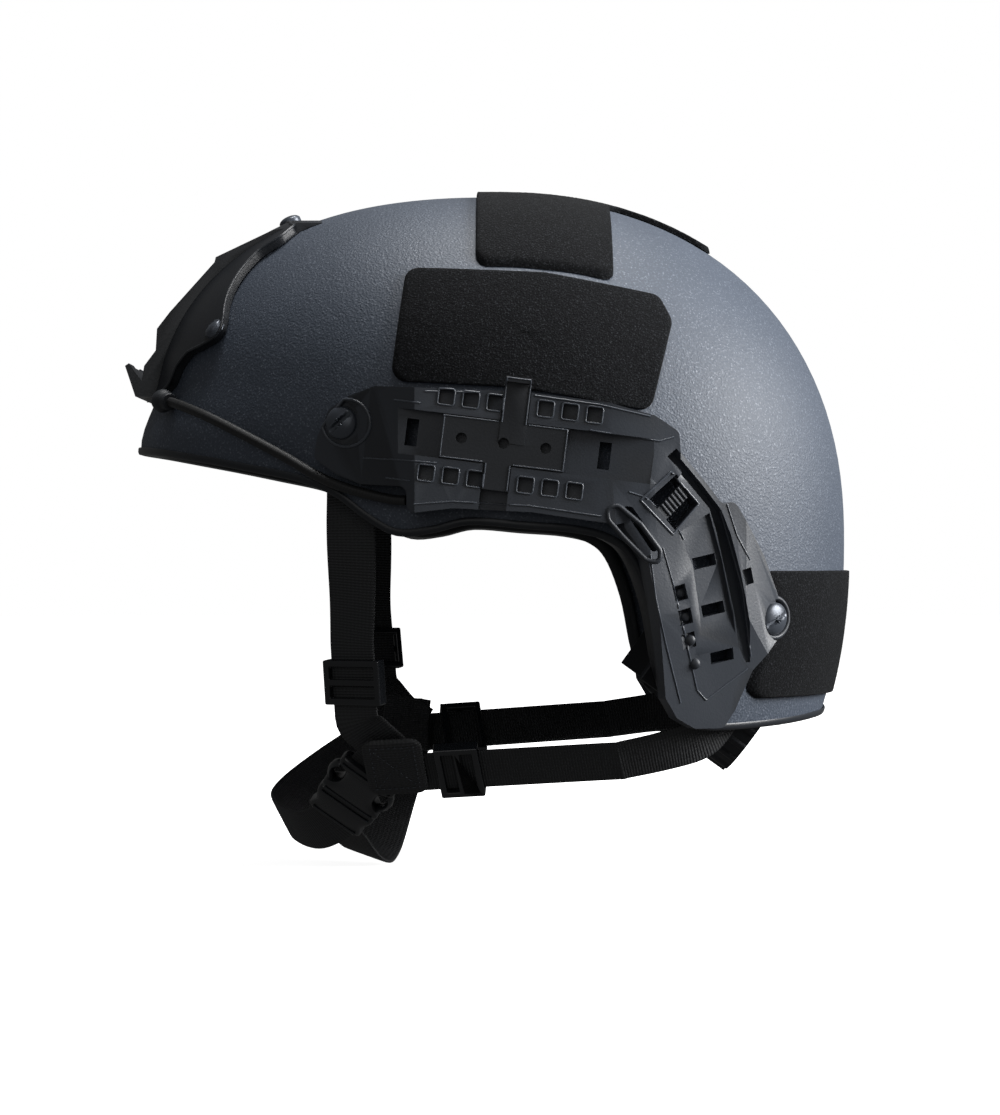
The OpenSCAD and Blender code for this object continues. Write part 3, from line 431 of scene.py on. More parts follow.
def moulded(name, shade, rough=0.5, pebble_mm=0.5, pebble_depth=0.05, specular=0.45):
    plastic = Finish(name, Specular_IOR_Level=specular)
    slow = plastic.cloud(30, 3)
    fine = plastic.cloud(pebble_mm, 2)
    specks = plastic.cells(pebble_mm * 2.2)
    pale, dark = grey(shade * 1.35, BLUE_TINT), grey(shade * 0.7, BLUE_TINT)
    colour = plastic.blend(slow * 0.6 + fine * 0.4, dark, pale)
    # Sharp edges, found by pointiness, are blended towards a pale grey: partly wear, partly a painted
    # highlight.
    worn_edge_and_highlight = plastic.node("ShaderNodeNewGeometry", out="Pointiness").between(0.52, 0.62)
    colour = plastic.blend(worn_edge_and_highlight * 0.5, colour, grey(shade * 2.6, BLUE_TINT))
    roughness = slow * 0.16 + fine * 0.08 + (rough - 0.12) - worn_edge_and_highlight * 0.08
    return plastic.wear(Base_Color=colour, Roughness=roughness,
                        Normal=plastic.bump(fine * 0.6 + specks * 0.4, pebble_depth))


rail_finish = moulded("rail plastic", 0.024, 0.46)
dark_finish = moulded("dark plastic", 0.012, 0.5)
buckle_finish = moulded("buckle plastic", 0.01, 0.3, 0.8, 0.02, specular=0.6)
bead_finish = moulded("bead rubber", 0.016, 0.55, 0.7)

for side in ("left", "right"):
    for kind, bm, finish in (("cord", pipe(cord_path, CORD_R), cord_finish),
                             ("bead", bead(cord_path[0], cord_path[2] - cord_path[0]), bead_finish)):
        if side == "right":
            mirror_across(bm)
        piece = keep(bm, f"elastic_{kind}_{side}", "helmet", finish=finish)
        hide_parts(f"bungee_{side}")
print("cord rows", len(cord_path))

# %% [markdown]
# The shell is pressed or moulded in one piece and painted with a matt, slightly grained coat.
# It is a bag made of one grid: from the crown down the outside, round the rim and up the inside.
# The rim dips for the ears and the nape, so each ray from the middle of the head
# runs towards its own place on the rim.

# %% The rim and the shell
RIM = [[0, 19], [15, 18], [30, 14.5], [43, 10], [53, 6], [60, 0.5], [66, -8], [72, -14], [79, -13],
       [86, -10], [96, -11.5], [105, -13], [111, -16.5], [115, -24], [118.5, -42], [121.5, -66],
       [125.5, -82], [131, -86.5], [145, -86], [163, -84], [180, -83]]
rim_half = curve(RIM, 5)
rim_all = rim_half + [[360 - a, z] for a, z in reversed(rim_half[1:-1])]
RIM_COUNT = len(rim_all)


def toward(az, el=0):
    a, e = math.radians(az), math.radians(el)
    return Vector((-math.cos(a) * math.cos(e), -math.sin(a) * math.cos(e), math.sin(e)))


rim_low = []
for az, z in rim_all:
    p = to_skin((0, 0, z), toward(az))
    rim_low.append(math.degrees(math.atan2(p.z, math.hypot(p.x, p.y))))


def shell_point(i, share, g):
    i = i % RIM_COUNT
    return to_skin((0, 0, 0), toward(rim_all[i][0], 90 - (90 - rim_low[i]) * share), g)


SHELL_ROWS = 44


def shell_place(s, t):
    i, row = round(s * RIM_COUNT), round(t * (2 * SHELL_ROWS + 1))
    outer = row <= SHELL_ROWS
    share = row / SHELL_ROWS if outer else (2 * SHELL_ROWS + 1 - row) / SHELL_ROWS
    return shell_point(i, share, 0 if outer else -SHELL_T)


shell_bm = bent_grid(RIM_COUNT, 2 * SHELL_ROWS + 1, shell_place)
print("points on the rim", RIM_COUNT)

# %% [markdown]
# The coat on the shell has a grain of about a millimetre, like fine orange peel, that catches
# the light as small bright specks. A fine cloud and a cell pattern give the height, and the specks
# are also painted into the colour as pale dots, a painted highlight. Apart from them the colour
# only shifts a little, because in the photograph the change from dark to pale comes from the light.

# %% Grained paint finish
def grained_paint():
    paint = Finish("grained slate paint", Specular_IOR_Level=0.5)
    slow = paint.cloud(45, 3)
    grain = paint.cloud(0.8, 2, 0.6)
    peel = paint.cells(0.9, feature="SMOOTH_F1")
    colour = paint.blend(slow * 0.4 + grain * 0.6, grey(0.038, 0.85), grey(0.086, 0.75))
    # Pale specks painted into the colour where the grain peaks: painted highlight glints of the orange peel.
    painted_glint_specks = grain.between(0.58, 0.7)
    colour = paint.blend(painted_glint_specks * 0.5, colour, grey(0.25, 0.4))
    height = grain * 0.6 + peel * 0.4
    return paint.wear(Base_Color=colour, Roughness=0.52 + slow * 0.1 - painted_glint_specks * 0.12,
                      Normal=paint.bump(height, 0.32))


paint_finish = grained_paint()
shell = keep(shell_bm, "painted_shell", "helmet", 50, paint_finish)
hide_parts("shell")
print("shell faces", len(shell.data.polygons))

# %% [markdown]
# A rubber channel is pushed over the raw rim. Seen from outside it is a thin bright line.
# Its section is a narrow U with rounded legs, led round the rim by the bent grid,
# closed both ways into a ring.

# %% Rubber edging
TRIM_T, TRIM_LEG, OUTER_LEG, LEAN = 0.8, 4.5, 1.8, 0.4
SECTION_COUNT = 16


def trim_section(i):
    a, p, b = shell_point(i + RIM_COUNT - 1, 1, 0), shell_point(i, 1, 0), shell_point(i + 1, 1, 0)
    q = shell_point(i, 1, -SHELL_T)
    out = skin_normal(p)
    up = out.cross((b - a).normalized()).normalized()
    deep = SEAT + TRIM_T
    rows = [(p + out * SEAT, OUTER_LEG - 0.3), (p + out * SEAT, 0), (p, -SEAT), (q, -SEAT),
            (q - out * SEAT, 0), (q - out * (SEAT + 2 * LEAN), TRIM_LEG - 0.3),
            (q - out * (SEAT + 2 * LEAN + TRIM_T / 2), TRIM_LEG),
            (q - out * (deep + 2 * LEAN), TRIM_LEG - 0.4),
            (q - out * deep, 0), (q - out * (deep - 0.35), -deep + 0.2), (q - out * 0.2, -deep),
            (p + out * 0.2, -deep), (p + out * (deep - 0.35), -deep + 0.2), (p + out * deep, 0),
            (p + out * (deep - 0.1), OUTER_LEG - 0.4), (p + out * (SEAT + TRIM_T / 2), OUTER_LEG)]
    return [point + up * lift for point, lift in rows]


def trim_place(s, t):
    return trim_rows[round(t * RIM_COUNT) % RIM_COUNT][round(s * SECTION_COUNT) % SECTION_COUNT]


trim_rows = [trim_section(i) for i in range(RIM_COUNT)]
trim_bm = bent_grid(SECTION_COUNT, RIM_COUNT, trim_place, caps=False)
rubber_finish = moulded("edging rubber", 0.014, 0.4, 0.4, 0.02, specular=0.4)
edging = keep(trim_bm, "rubber_edging", "helmet", 60, rubber_finish)
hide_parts("edge_trim")
print("edging rows", len(trim_rows))

# %% [markdown]
# Loop patches are cut from a pile fabric and glued on the crown, the sides and the back.
# Each is drawn as a flat outline, laid on the skin in rings from its middle outwards,
# folded over a soft edge and back underneath. Small random lifts make the loops uneven.
# The back patch is cut to fit round the rails, so its edge is found by rays sent at its solid.

# %% Loop patches
NEARLY_STRAIGHT = 84


def rounded(points, r, k=4):
    pts, out = [Vector(p) for p in points], []
    for i, b in enumerate(pts):
        a, c = pts[i - 1], pts[(i + 1) % len(pts)]
        u, w = (a - b).normalized(), (c - b).normalized()
        half = math.acos(max(min(u.dot(w), 1), -1)) / 2
        if half > math.radians(NEARLY_STRAIGHT):
            out.append(b)
            continue
        cut = min(r / math.tan(half), 0.45 * min((a - b).length, (c - b).length))
        arc = cut * math.tan(half)
        mid = b + (u + w).normalized() * arc / math.sin(half)
        start, end = b + u * cut - mid, b + w * cut - mid
        out += [mid + mix(start, end, j / k).normalized() * arc for j in range(k + 1)]
    return out


def even(outline, count):
    pts = list(outline) + [outline[0]]
    lengths = [0]
    for a, b in zip(pts, pts[1:]):
        lengths.append(lengths[-1] + (b - a).length)
    out, i = [], 0
    for j in range(count):
        want = lengths[-1] * j / count
        while lengths[i + 1] < want:
            i += 1
        out.append(mix(pts[i], pts[i + 1], (want - lengths[i]) / max(lengths[i + 1] - lengths[i], 1e-9)))
    return out


VIEWS = {"left": left_skin, "top": top_skin, "front": front_skin, "rear": rear_skin}
FOLD_AT, FOLD_REST, FOLD_ROWS = 0.985, 0.015, 4


def laid_patch(outline, middle, view, count, rings, thick, fuzz=0.12, upright=False):
    ring, mid, lift = even(outline, count), Vector(middle), VIEWS[view]
    under = rings + FOLD_ROWS
    total = rings + under

    def place(s, t):
        p = ring[round(s * count) % count]
        row = round(t * total)
        if row <= rings:
            share, g = row / rings * FOLD_AT, thick + fuzz * noise.noise(Vector((p.x, p.y, row)) * 0.9)
        elif row < under:
            turn = (row - rings) / FOLD_ROWS * math.pi / 2
            share, g = FOLD_AT + FOLD_REST * math.sin(turn), SEAT + (thick - SEAT) * math.cos(turn)
        else:
            share, g = (total - row) / rings, SEAT
        q = mid + (p - mid) * share
        if row == 0 or row == total:
            q = mid
        if upright and rings < row < under + 1:
            top = lift(mid.x + (p - mid).x * FOLD_AT, mid.y + (p - mid).y * FOLD_AT, thick)
            side = (row - rings) / FOLD_ROWS
            return top - skin_normal(top, thick) * (thick - SEAT) * side
        if upright and row > under:
            q = mid + (q - mid) * 0.95
        return lift(q.x, q.y, g)

    return bent_grid(count, total, place)


def loop_pile():
    pile = Finish("loop pile", Roughness=0.95, Specular_IOR_Level=0.05)
    loops = pile.cloud(0.6, 3, 0.75)
    tufts = pile.cells(0.9)
    slow = pile.cloud(14, 2)
    speck = loops.between(0.55, 0.7)
    colour = pile.blend(loops * 0.7 + slow * 0.3, grey(0.002, 0.3), grey(0.008, 0.3))
    colour = pile.blend(speck * 0.6, colour, grey(0.06, 0.25))
    pile.shader.inputs["Sheen Weight"].default_value = 0.02
    pile.shader.inputs["Sheen Roughness"].default_value = 0.6
    return pile.wear(Base_Color=colour, Normal=pile.bump(loops * 0.6 + tufts * 0.4, 0.4))


pile_finish = loop_pile()
SIDE_PATCH = [[20, 84], [63, 76], [68, 66], [59, 31], [10, 39.5], [-34, 42], [-37, 46], [-32, 86]]
CROWN_EDGE = [(x, -left_skin(x, z).y) for x, z in ((-6, 85.6), (20, 84.6), (46, 79.9))]
CROWN_PATCH = (CROWN_EDGE + [(46, 22), (86, 22), (86, -22), (46, -22)]
               + [(x, -y) for x, y in reversed(CROWN_EDGE)] + [(-6, 0)])
PATCH_T = 2.2
patches = {}
side_bm = laid_patch(rounded(SIDE_PATCH, 5, 5), (14, 60), "left", 150, 26, PATCH_T)
patches["side_patch_right"] = mirror_across(side_bm.copy())
patches["side_patch_left"] = side_bm
patches["crown_patch"] = laid_patch(rounded(CROWN_PATCH, 4, 4), (32, 0), "top", 220, 34, PATCH_T)


def edge_of(solid, z):
    low, high = 0, 100
    for _ in range(16):
        y = (low + high) / 2
        hit = solid.ray_cast(Vector((200, y, z)) * MM, Vector((-1, 0, 0)))[0]
        low, high = (y, high) if hit else (low, y)
    return low


rear_tree = solid_tree("rear_patch")
REAR_EDGE = [(edge_of(rear_tree, z), z) for z in range(-76, -25, 3)]
REAR_PATCH = REAR_EDGE + [(-y, z) for y, z in reversed(REAR_EDGE)]
patches["rear_patch"] = laid_patch(rounded(REAR_PATCH, 3, 3), (0, -51), "rear", 220, 30, PATCH_T)
for name, bm in patches.items():
    piece = keep(bm, "pile_" + name, "helmet", 60, pile_finish)
    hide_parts(name)
print("patches", list(patches))

# %% [markdown]
# The solids that stay, such as rails, shroud, sliders and the buckle, have knife-sharp edges.
# A real moulding never has: its edges catch a line of light. A copy of each solid is merged,
# its flat faces are joined, and a narrow rounding goes round every sharp edge.
# The copy stands for the solid, which is left as it is.

# %% Rounding the edges of the hard pieces
MERGE_M, FLAT_DEG = 0.00002, 1.2


def softened(node, name, body, finish, width_mm, segments=2, angle=32, half_width=None):
    bm = bmesh.new()
    bm.from_mesh(nodes[node].data)
    bmesh.ops.remove_doubles(bm, verts=bm.verts[:], dist=MERGE_M)
    for side in (-1, 1) if half_width else ():
        bmesh.ops.bisect_plane(bm, geom=bm.verts[:] + bm.edges[:] + bm.faces[:], dist=0.000001,
                               plane_co=(0, side * half_width * MM, 0), plane_no=(0, side, 0),
                               clear_outer=True)
        bmesh.ops.holes_fill(bm, edges=[e for e in bm.edges if e.is_boundary], sides=0)
    bmesh.ops.dissolve_limit(bm, angle_limit=math.radians(FLAT_DEG), verts=bm.verts[:], edges=bm.edges[:])
    piece = keep(bm, name, body, finish=finish)
    mod = piece.modifiers.new("rounded edges", "BEVEL")
    mod.width = width_mm * MM
    mod.segments = segments
    mod.limit_method = "ANGLE"
    mod.angle_limit = math.radians(angle)
    mod.use_clamp_overlap = True
    mod.harden_normals = True
    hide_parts(node)


screw_finish = moulded("blackened screw", 0.07, 0.32, 0.6, 0.02, specular=0.6)
screw_finish.node_tree.nodes["Principled BSDF"].inputs["Metallic"].default_value = 0.35
insert_finish = moulded("insert plastic", 0.013, 0.5)
shroud_finish = moulded("shroud plastic", 0.014, 0.42)
for side in ("left", "right"):
    softened(f"rail_{side}", f"side_rail_{side}", "helmet", rail_finish, 0.5)
    softened(f"rail_insert_{side}", f"channel_insert_{side}", "helmet", insert_finish, 0.25)
    softened(f"rail_tongue_{side}", f"ribbed_tongue_{side}", f"tongue_{side}", rail_finish, 0.2)
    for end in ("front", "rear"):
        softened(f"{end}_slider_{side}", f"{end}_buckle_slider_{side}", f"{end}_slider_{side}",
                 buckle_finish, 0.7, segments=3)
softened("nape_housing", "dial_housing", "helmet", dark_finish, 0.6, segments=3)
softened("fit_dial", "knurled_dial", "dial", dark_finish, 0.4, angle=40)
softened("dial_pinion", "dial_pinion_shaft", "dial", dark_finish, 0.2)
softened("rail_nuts", "washer_nuts", "helmet", screw_finish, 0.25, angle=40)
softened("shroud_nuts", "shroud_washer_nuts", "helmet", screw_finish, 0.25, angle=40)
print("hard pieces rounded")

# %% [markdown]
# The shroud is a thin plate that hugs the brow, with a raised hollow nose in its middle for the
# mount. The nose keeps the solid's form, cut square at both sides. The plate is laid on the skin
# like the patches, so that it has no facets, and a fine bead runs along its edge: on a real
# moulding this is the line that catches the light.

# %% Shroud plate and its bead
SHROUD = [(0, 39), (20, 40.5), (39, 41), (44.5, 44), (47, 51), (51.5, 56), (58, 58.2), (62.4, 60.4), (64, 64),
          (61.1, 69.5), (53.1, 80), (46.1, 90), (41.5, 97), (41, 102.5), (35, 107), (20, 109.8), (0, 110.8)]
SHROUD_T, SHROUD_MID, NOSE_HALF_W = 3.4, Vector((0, 72)), 31.2
BEAD_W, BEAD_H, BEAD_INSET = 1.3, 0.55, 0.012


def bead_line(spots, faces, width, height, closed=False):
    n = len(spots)
    total = n if closed else n - 1

    def place(s, t):
        i = round(t * total)
        a, b = [spots[(i + k) % n] if closed else spots[min(max(i + k, 0), n - 1)] for k in (-1, 1)]
        face = faces[i % n]
        side = face.cross((b - a).normalized()).normalized()
        turn = s * math.tau
        return spots[i % n] + side * (math.cos(turn) * width / 2) + face * (math.sin(turn) * height)

    return bent_grid(8, total, place, caps=not closed)


shroud_ring = rounded(SHROUD[1:] + [(-y, z) for y, z in reversed(SHROUD[1:-1])], 3, 3)
plate_bm = laid_patch(shroud_ring, SHROUD_MID, "front", 260, 34, SEAT + SHROUD_T, 0, True)
shroud_plate = keep(plate_bm, "shroud_plate", "helmet", 50, shroud_finish)
line = [p * (1 - BEAD_INSET) + SHROUD_MID * BEAD_INSET for p in even(shroud_ring, 260)]
spots = [front_skin(p.x, p.y, SEAT + SHROUD_T) for p in line]
edge_bm = bead_line(spots, [skin_normal(p, SEAT + SHROUD_T) for p in spots], BEAD_W, BEAD_H, True)
shroud_edge = keep(edge_bm, "shroud_edge_bead", "helmet", 60, shroud_finish)
softened("shroud", "shroud_nose", "helmet", shroud_finish, 0.5, half_width=NOSE_HALF_W)
for piece in (shroud_plate, shroud_edge):
    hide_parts("shroud")
print("shroud points", len(spots))

# %% [markdown]
# A slotted screw is a low dome, turned, with a groove sawn across it. Four cuts beside the
# groove give its walls an edge to follow, and the strip between them is pressed down.

# %% Slotted screws
HEAD_DEEP, GROOVE_DEEP, GROOVE_HALF_W, GROOVE_CUTS = 2.5, 1.5, 0.77, (-0.8, -0.76, 0.76, 0.8)
RAIL_HEAD, SHROUD_HEAD, TOP_HEAD = (6.2, 2.6, 5.2), (4.2, 1.9, 3.9), (4.4, 2.0, 4.7)
FRONT_SCREW, REAR_SCREW, SHROUD_SCREW, TOP_SCREW = (-53.5, 26.5), (102.5, -45.5), (-57, 63.3), (-79, 0)


def slotted_head(size, spot, normal, along):
    radius, rise, lift = size
    turns = [k / 12 * math.pi / 2 for k in range(1, 12)]
    bm = turned([(0, rise)] + [(radius * math.sin(a), rise * math.cos(a)) for a in turns]
                + [(radius, 0), (radius, -HEAD_DEEP), (0, -HEAD_DEEP)], 40)
    for x in GROOVE_CUTS:
        bmesh.ops.bisect_plane(bm, geom=bm.verts[:] + bm.edges[:] + bm.faces[:], dist=0.0000001,
                               plane_co=(0, x * MM, 0), plane_no=(1, 0, 0))
    for vert in bm.verts:
        if abs(vert.co.x) < GROOVE_HALF_W * MM and vert.co.z > 0:
            vert.co.z = min(vert.co.z, (rise - GROOVE_DEEP) * MM)
    bmesh.ops.transform(bm, matrix=stand(spot + normal * lift, along, normal), verts=bm.verts[:])
    return bm


screws = {"rail_screws": [], "shroud_screws": []}
for place, slot_way in ((FRONT_SCREW, (0.77, -0.07, 0.64)), (REAR_SCREW, (0.78, 0.8, 0.62))):
    spot = left_skin(*place)
    normal = skin_normal(spot)
    across = Vector(slot_way).cross(normal)
    screws["rail_screws"].append(slotted_head(RAIL_HEAD, spot, normal, across))
spot = front_skin(*SHROUD_SCREW)
screws["shroud_screws"].append(slotted_head(SHROUD_HEAD, spot, skin_normal(spot), (0, 1, 0.4)))
for node, heads in screws.items():
    for bm in heads:
        for side, made in both_sides(bm):
            piece = keep(made, f"slotted_{node}_{side}", "helmet", 35, screw_finish)
            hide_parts(node)
spot = top_skin(*TOP_SCREW)
top_bm = slotted_head(TOP_HEAD, spot, skin_normal(spot), (0, 1, 0))
top_head = keep(top_bm, "slotted_top_screw", "helmet", 35, screw_finish)
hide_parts("shroud_screws")
print("screw heads placed")

# %% [markdown]
# The rails carry many fine raised lines: frames round the windows, rings round the screws and
# ribs along the bars. They are drawn where the camera sees them in a side view, and each point
# is sent along the line of sight until it meets the rail. So a flat drawing lands on a bent part.
# The wire loop of the strap slot, the round teeth below it and the rim of the rear screw follow.

# %% Fine lines on the rails
VIEW_Y = -125
rail_tree = solid_tree("rail_left", "rail_insert_left")


def seen(x, z):
    aim = (Vector((x, VIEW_Y, z)) - EYE).normalized()
    spot, normal = rail_tree.ray_cast(EYE * MM, aim)[:2]
    return (spot / MM, normal) if spot else None


def stepped(points, gap, closed=False):
    pts, out = [Vector(p) for p in points], []
    if closed:
        pts.append(pts[0])
    for a, b in zip(pts, pts[1:]):
        count = max(1, round((b - a).length / gap))
        out += [mix(a, b, i / count) for i in range(count)]
    return out if closed else out + [pts[-1]]


def drawn_line(points, width, height, closed):
    hits = [seen(p.x, p.y) for p in stepped(points, 1.2, closed)]
    hits = [h for h in hits if h]
    return bead_line([h[0] for h in hits], [h[1] for h in hits], width, height, closed)


def square(x, z, half, lean_deg):
    a = math.radians(lean_deg)
    corners = [(-half, -half), (half, -half), (half, half), (-half, half)]
    leaning = [Vector((u * math.cos(a) + w * math.sin(a), -u * math.sin(a) + w * math.cos(a)))
               for u, w in corners]
    return rounded([Vector((x, z)) + c for c in leaning], 0.8, 2)


SLOPE_DEG = 7
BAR_MID, BAR_SLOPE, BAR_Y = Vector((4.5, 18.7)), math.radians(SLOPE_DEG), left_skin(20, 5).y - 7.5
WINDOW_PITCH, WINDOW_HALF, FRAME_HALF = 9, 2.65, 3.0


def in_bars(u, w):
    x = BAR_MID.x + u * math.cos(BAR_SLOPE) + w * math.sin(BAR_SLOPE)
    z = BAR_MID.y - u * math.sin(BAR_SLOPE) + w * math.cos(BAR_SLOPE)
    near = (VIEW_Y - EYE.y) / (BAR_Y - EYE.y)
    return Vector((EYE.x + (x - EYE.x) * near, EYE.z + (z - EYE.z) * near))


lines = []
for start, w in ((-25.5, 11.6), (11, 11.6), (-29.5, -16.9), (7, -16.9)):
    for k in range(3):
        mid = in_bars(start + WINDOW_PITCH * k + WINDOW_HALF, w + WINDOW_HALF)
        lines.append((square(mid.x, mid.y, FRAME_HALF, SLOPE_DEG), 0.75, 0.42, True))
INSERT = [[(-23, 7.6), (-2.8, 7.6)], [(8.4, 7.6), (22.6, 7.6), (22.6, -7.6), (4.4, -7.6)],
          [(-6.8, -7.6), (-22.6, -7.6), (-22.6, 7.6)], [(-1.6, 24), (-1.6, 7.6)], [(7.2, 24), (7.2, 7.6)],
          [(-1.6, 24), (7.2, 24)], [(-5.6, -17), (-5.6, -8)], [(3.2, -17), (3.2, -8)]]
lines += [([in_bars(*p) for p in path], 0.6, 0.3, False) for path in INSERT]
BAR_RIBS = [[(-46.7, 13.2), (-33.2, 12.5), (-19.8, 11.4)], [(-38.3, 6), (-29.6, 4.9)],
            [(-35.4, 34.4), (-25.6, 33.3)], [(36, 23.4), (46.9, 21.6), (61.5, 19.4), (66.5, 20.9)],
            [(-24, 37.6), (-4, 37.2)], [(16, 36), (40, 32.6), (58, 28.4)],
            [(-28, -3.6), (-14, -2.6), (14, -4.2), (40, -8)]]
REAR_RIBS = [[(50.2, 0.9), (56, -1), (62.2, -5), (67, -10.4), (70.2, -16.6)],
             [(62.6, -19.5), (65.9, -31.2), (70.2, -49.4), (75, -71.3), (78.2, -74.9), (93.5, -63.3)],
             [(83.5, -6), (91.6, -34.5), (94.6, -59)], [(85.9, -3.5), (89.5, -14.8), (94.3, -23.9)],
             [(58, -22), (60, -38), (64, -56), (69, -76)]]
lines += [(path, 0.7, 0.35, False) for path in BAR_RIBS + REAR_RIBS]
LOOP = [(42.2, -5.3), (46, -3.8), (54.6, -11), (61.6, -20.4), (61.4, -25), (56.6, -24), (48.2, -15.6),
        (42.8, -9.4)]
lines.append(([(54.4, -2.1), (65.5, 8.2), (75.6, -3.5), (66.2, -14.6)], 0.9, 0.5, True))
RING_X, RING_Z, RING_R, RING_STEPS = -52.7, 26, 8.7, 28
turns = [k * math.tau / RING_STEPS for k in range(RING_STEPS + 1)]
ring = [(RING_X + RING_R * math.cos(a), RING_Z + RING_R * math.sin(a)) for a in turns]
lines.append((ring, 1.3, 0.7, False))
# The raised lines get a paler plastic than the rail: a painted highlight for the light their edges catch.
line_finish = moulded("rail line painted highlight", 0.045, 0.34, specular=0.6)
all_lines = gathered(drawn_line(*line) for line in lines)
loop_depth = min(seen(p.x, p.y)[0].y for p in stepped(LOOP, 2, True) if seen(p.x, p.y)) + 0.6
loop_spots = []
for p in rounded(LOOP, 2.5, 3):
    aim = Vector((p.x, VIEW_Y, p.y)) - EYE
    loop_spots.append(EYE + aim * ((loop_depth - EYE.y) / aim.y))
loop_bm = bead_line(loop_spots, [Vector((0, -1, 0))] * len(loop_spots), 1.9, 1.1, True)
TEETH = [(68.9 + 1.75 * k, -35.9 - 8.6 * k) for k in range(4)]
pillows = bmesh.new()
for place in TEETH:
    spot, normal = seen(*place)
    made = bmesh.ops.create_icosphere(pillows, subdivisions=3, radius=MM)["verts"]
    bmesh.ops.scale(pillows, vec=(2.1, 1.3, 2.1), verts=made)
    bmesh.ops.translate(pillows, vec=(spot + Vector((0, -0.3, 0))) * MM, verts=made)
BOSS = [(6.6, 1.0), (6.7, 5.2), (7.1, 5.8), (7.7, 5.9), (8.4, 5.3), (9.0, 3.6), (9.3, 0.6), (6.6, 1.0)]
boss = turned(BOSS, 40)
spot = left_skin(*REAR_SCREW)
bmesh.ops.transform(boss, matrix=stand(spot, (0, 0, 1), skin_normal(spot)), verts=boss.verts[:])
for kind, bm, finish in (("fine_lines", all_lines, line_finish), ("pillow_teeth", pillows, rail_finish),
                         ("loop", loop_bm, rail_finish), ("screw_boss", boss, rail_finish)):
    for side, made in both_sides(bm):
        piece = keep(made, f"rail_{kind}_{side}", "helmet", 60, finish)
print("lines on each rail", len(lines))

# %% [markdown]
# Webbing is a flat woven band about 19 mm wide. It is modelled directly, because a cloth
# simulation would lose its crisp edges. The section is a flat oval with full edges,
# led along the same places as the solid strap, with the face of the strap turned as given.

# %% Webbing finish and straps
WEB_W, WEB_T = 19, 1.5
RIB_M, THREAD_M, WAVE_M = 0.0011, 0.0016, 0.0022


def woven_webbing():
    web = Finish("ribbed webbing", Specular_IOR_Level=0.4)
    across, along = web.lay()
    rib = (along * (math.tau / RIB_M)).sine() * 0.5 + 0.5
    wave = (along * (math.tau / WAVE_M)).sine() * 0.6
    cord = (across * (math.tau / THREAD_M) + wave).sine() * 0.5 + 0.5
    slow = web.cloud(12, 3)
    fibre = web.cloud(0.4, 2)
    height = rib * 0.65 + cord * 0.25 + fibre * 0.1
    colour = web.blend(height * 0.6 + slow * 0.4, grey(0.008), grey(0.042, 0.2))
    return web.wear(Base_Color=colour, Roughness=0.55 + slow * 0.15, Normal=web.bump(height, 0.3))


web_finish = woven_webbing()


def spaced(rows, gap):
    reach_at = [0]
    for a, b in zip(rows, rows[1:]):
        reach_at.append(reach_at[-1] + (Vector(b[:3]) - Vector(a[:3])).length)
    count, out, i = max(3, round(reach_at[-1] / gap)), [], 0
    for j in range(count + 1):
        want = reach_at[-1] * j / count
        while i < len(rows) - 2 and reach_at[i + 1] < want:
            i += 1
        t = (want - reach_at[i]) / max(reach_at[i + 1] - reach_at[i], 1e-9)
        out.append([mix(a, b, min(t, 1)) for a, b in zip(rows[i], rows[i + 1])])
    for _ in range(2):
        out = [out[0]] + [[(a + 2 * b + c) / 4 for a, b, c in zip(*three)]
                          for three in zip(out, out[1:], out[2:])] + [out[-1]]
    return out


def strap(route):
    rows = spaced(curve(route, 8), 2.2)
    n = len(rows)
    spots = [Vector(r[:3]) for r in rows]
    sections, length, lengths = [], 0, []
    for i, row in enumerate(rows):
        run = (spots[min(i + 1, n - 1)] - spots[max(i - 1, 0)]).normalized()
        face = Vector(row[3:])
        face = (face - face.dot(run) * run).normalized()
        sections.append((face.cross(run) * WEB_W / 2, face * WEB_T / 2))
        length += (spots[i] - spots[max(i - 1, 0)]).length
        lengths.append(length)

    def place(s, t):
        i = round(t * (n - 1))
        x, y = oval(s * math.tau, 0.45, 0.3)
        return spots[i] + sections[i][0] * x + sections[i][1] * y

    def lay(s, t):
        return oval(s * math.tau, 0.45, 0.3)[0] * WEB_W / 2 * MM, lengths[round(t * (n - 1))] * MM

    return bent_grid(28, n - 1, place, lay)


# %% [markdown]
# The routes are the ones of the solid straps: along the inner wall under a nut, over the edging,
# straight through the slider and flat under the sewn join.

# %% Routes of the harness
BOW = 0.8
STRAP_IN = SHELL_T + SEAT + BOW + WEB_T / 2
PAST_TRIM = TRIM_T + SEAT
join_left, join_right = Vector((-37, -73.5, -99.5)), Vector((-37, -73.5, -91))
join_x = Vector((0.987, -0.142, 0.069)).normalized()
join_z = join_x.cross(Vector((-0.15, -0.74, -0.66))).cross(join_x).normalized()
join_y = join_z.cross(join_x)
JOIN_PITCH = WEB_T + 1.5 * SEAT


def on_wall(x, z, more=0.0):
    p = left_skin(x, z, -STRAP_IN - more)
    return [*p, *skin_normal(p, -STRAP_IN - more)]


def straight(a, b, face, lead=3):
    a, b = Vector(a), Vector(b)
    d = (b - a).normalized() * lead
    return [[*p, *face] for p in (a, a + d, b - d, b)]


def in_join(j, u, v, k):
    return j + join_x * u + join_y * v - join_z * (SEAT + WEB_T / 2 + k * JOIN_PITCH)


def join_row(j, u, v, k):
    return [*in_join(j, u, v, k), *join_z]


def front_route(j, a, b):
    wall = [on_wall(-53.5, z) for z in (36, 26, 16)]
    wall += [on_wall(-53.1, 8, PAST_TRIM), on_wall(-52.9, 1, PAST_TRIM)]
    free = [[-52.4, left_skin(-52, 0).y + 11, -16, -0.2, -1, 0], [-52.2, -86.5, -38, -0.4, -0.9, 0]]
    return wall + free + straight(a, b, (-0.5, -0.87, 0)) + [join_row(j, -5, 7, 1), join_row(j, 3, -7, 1)]


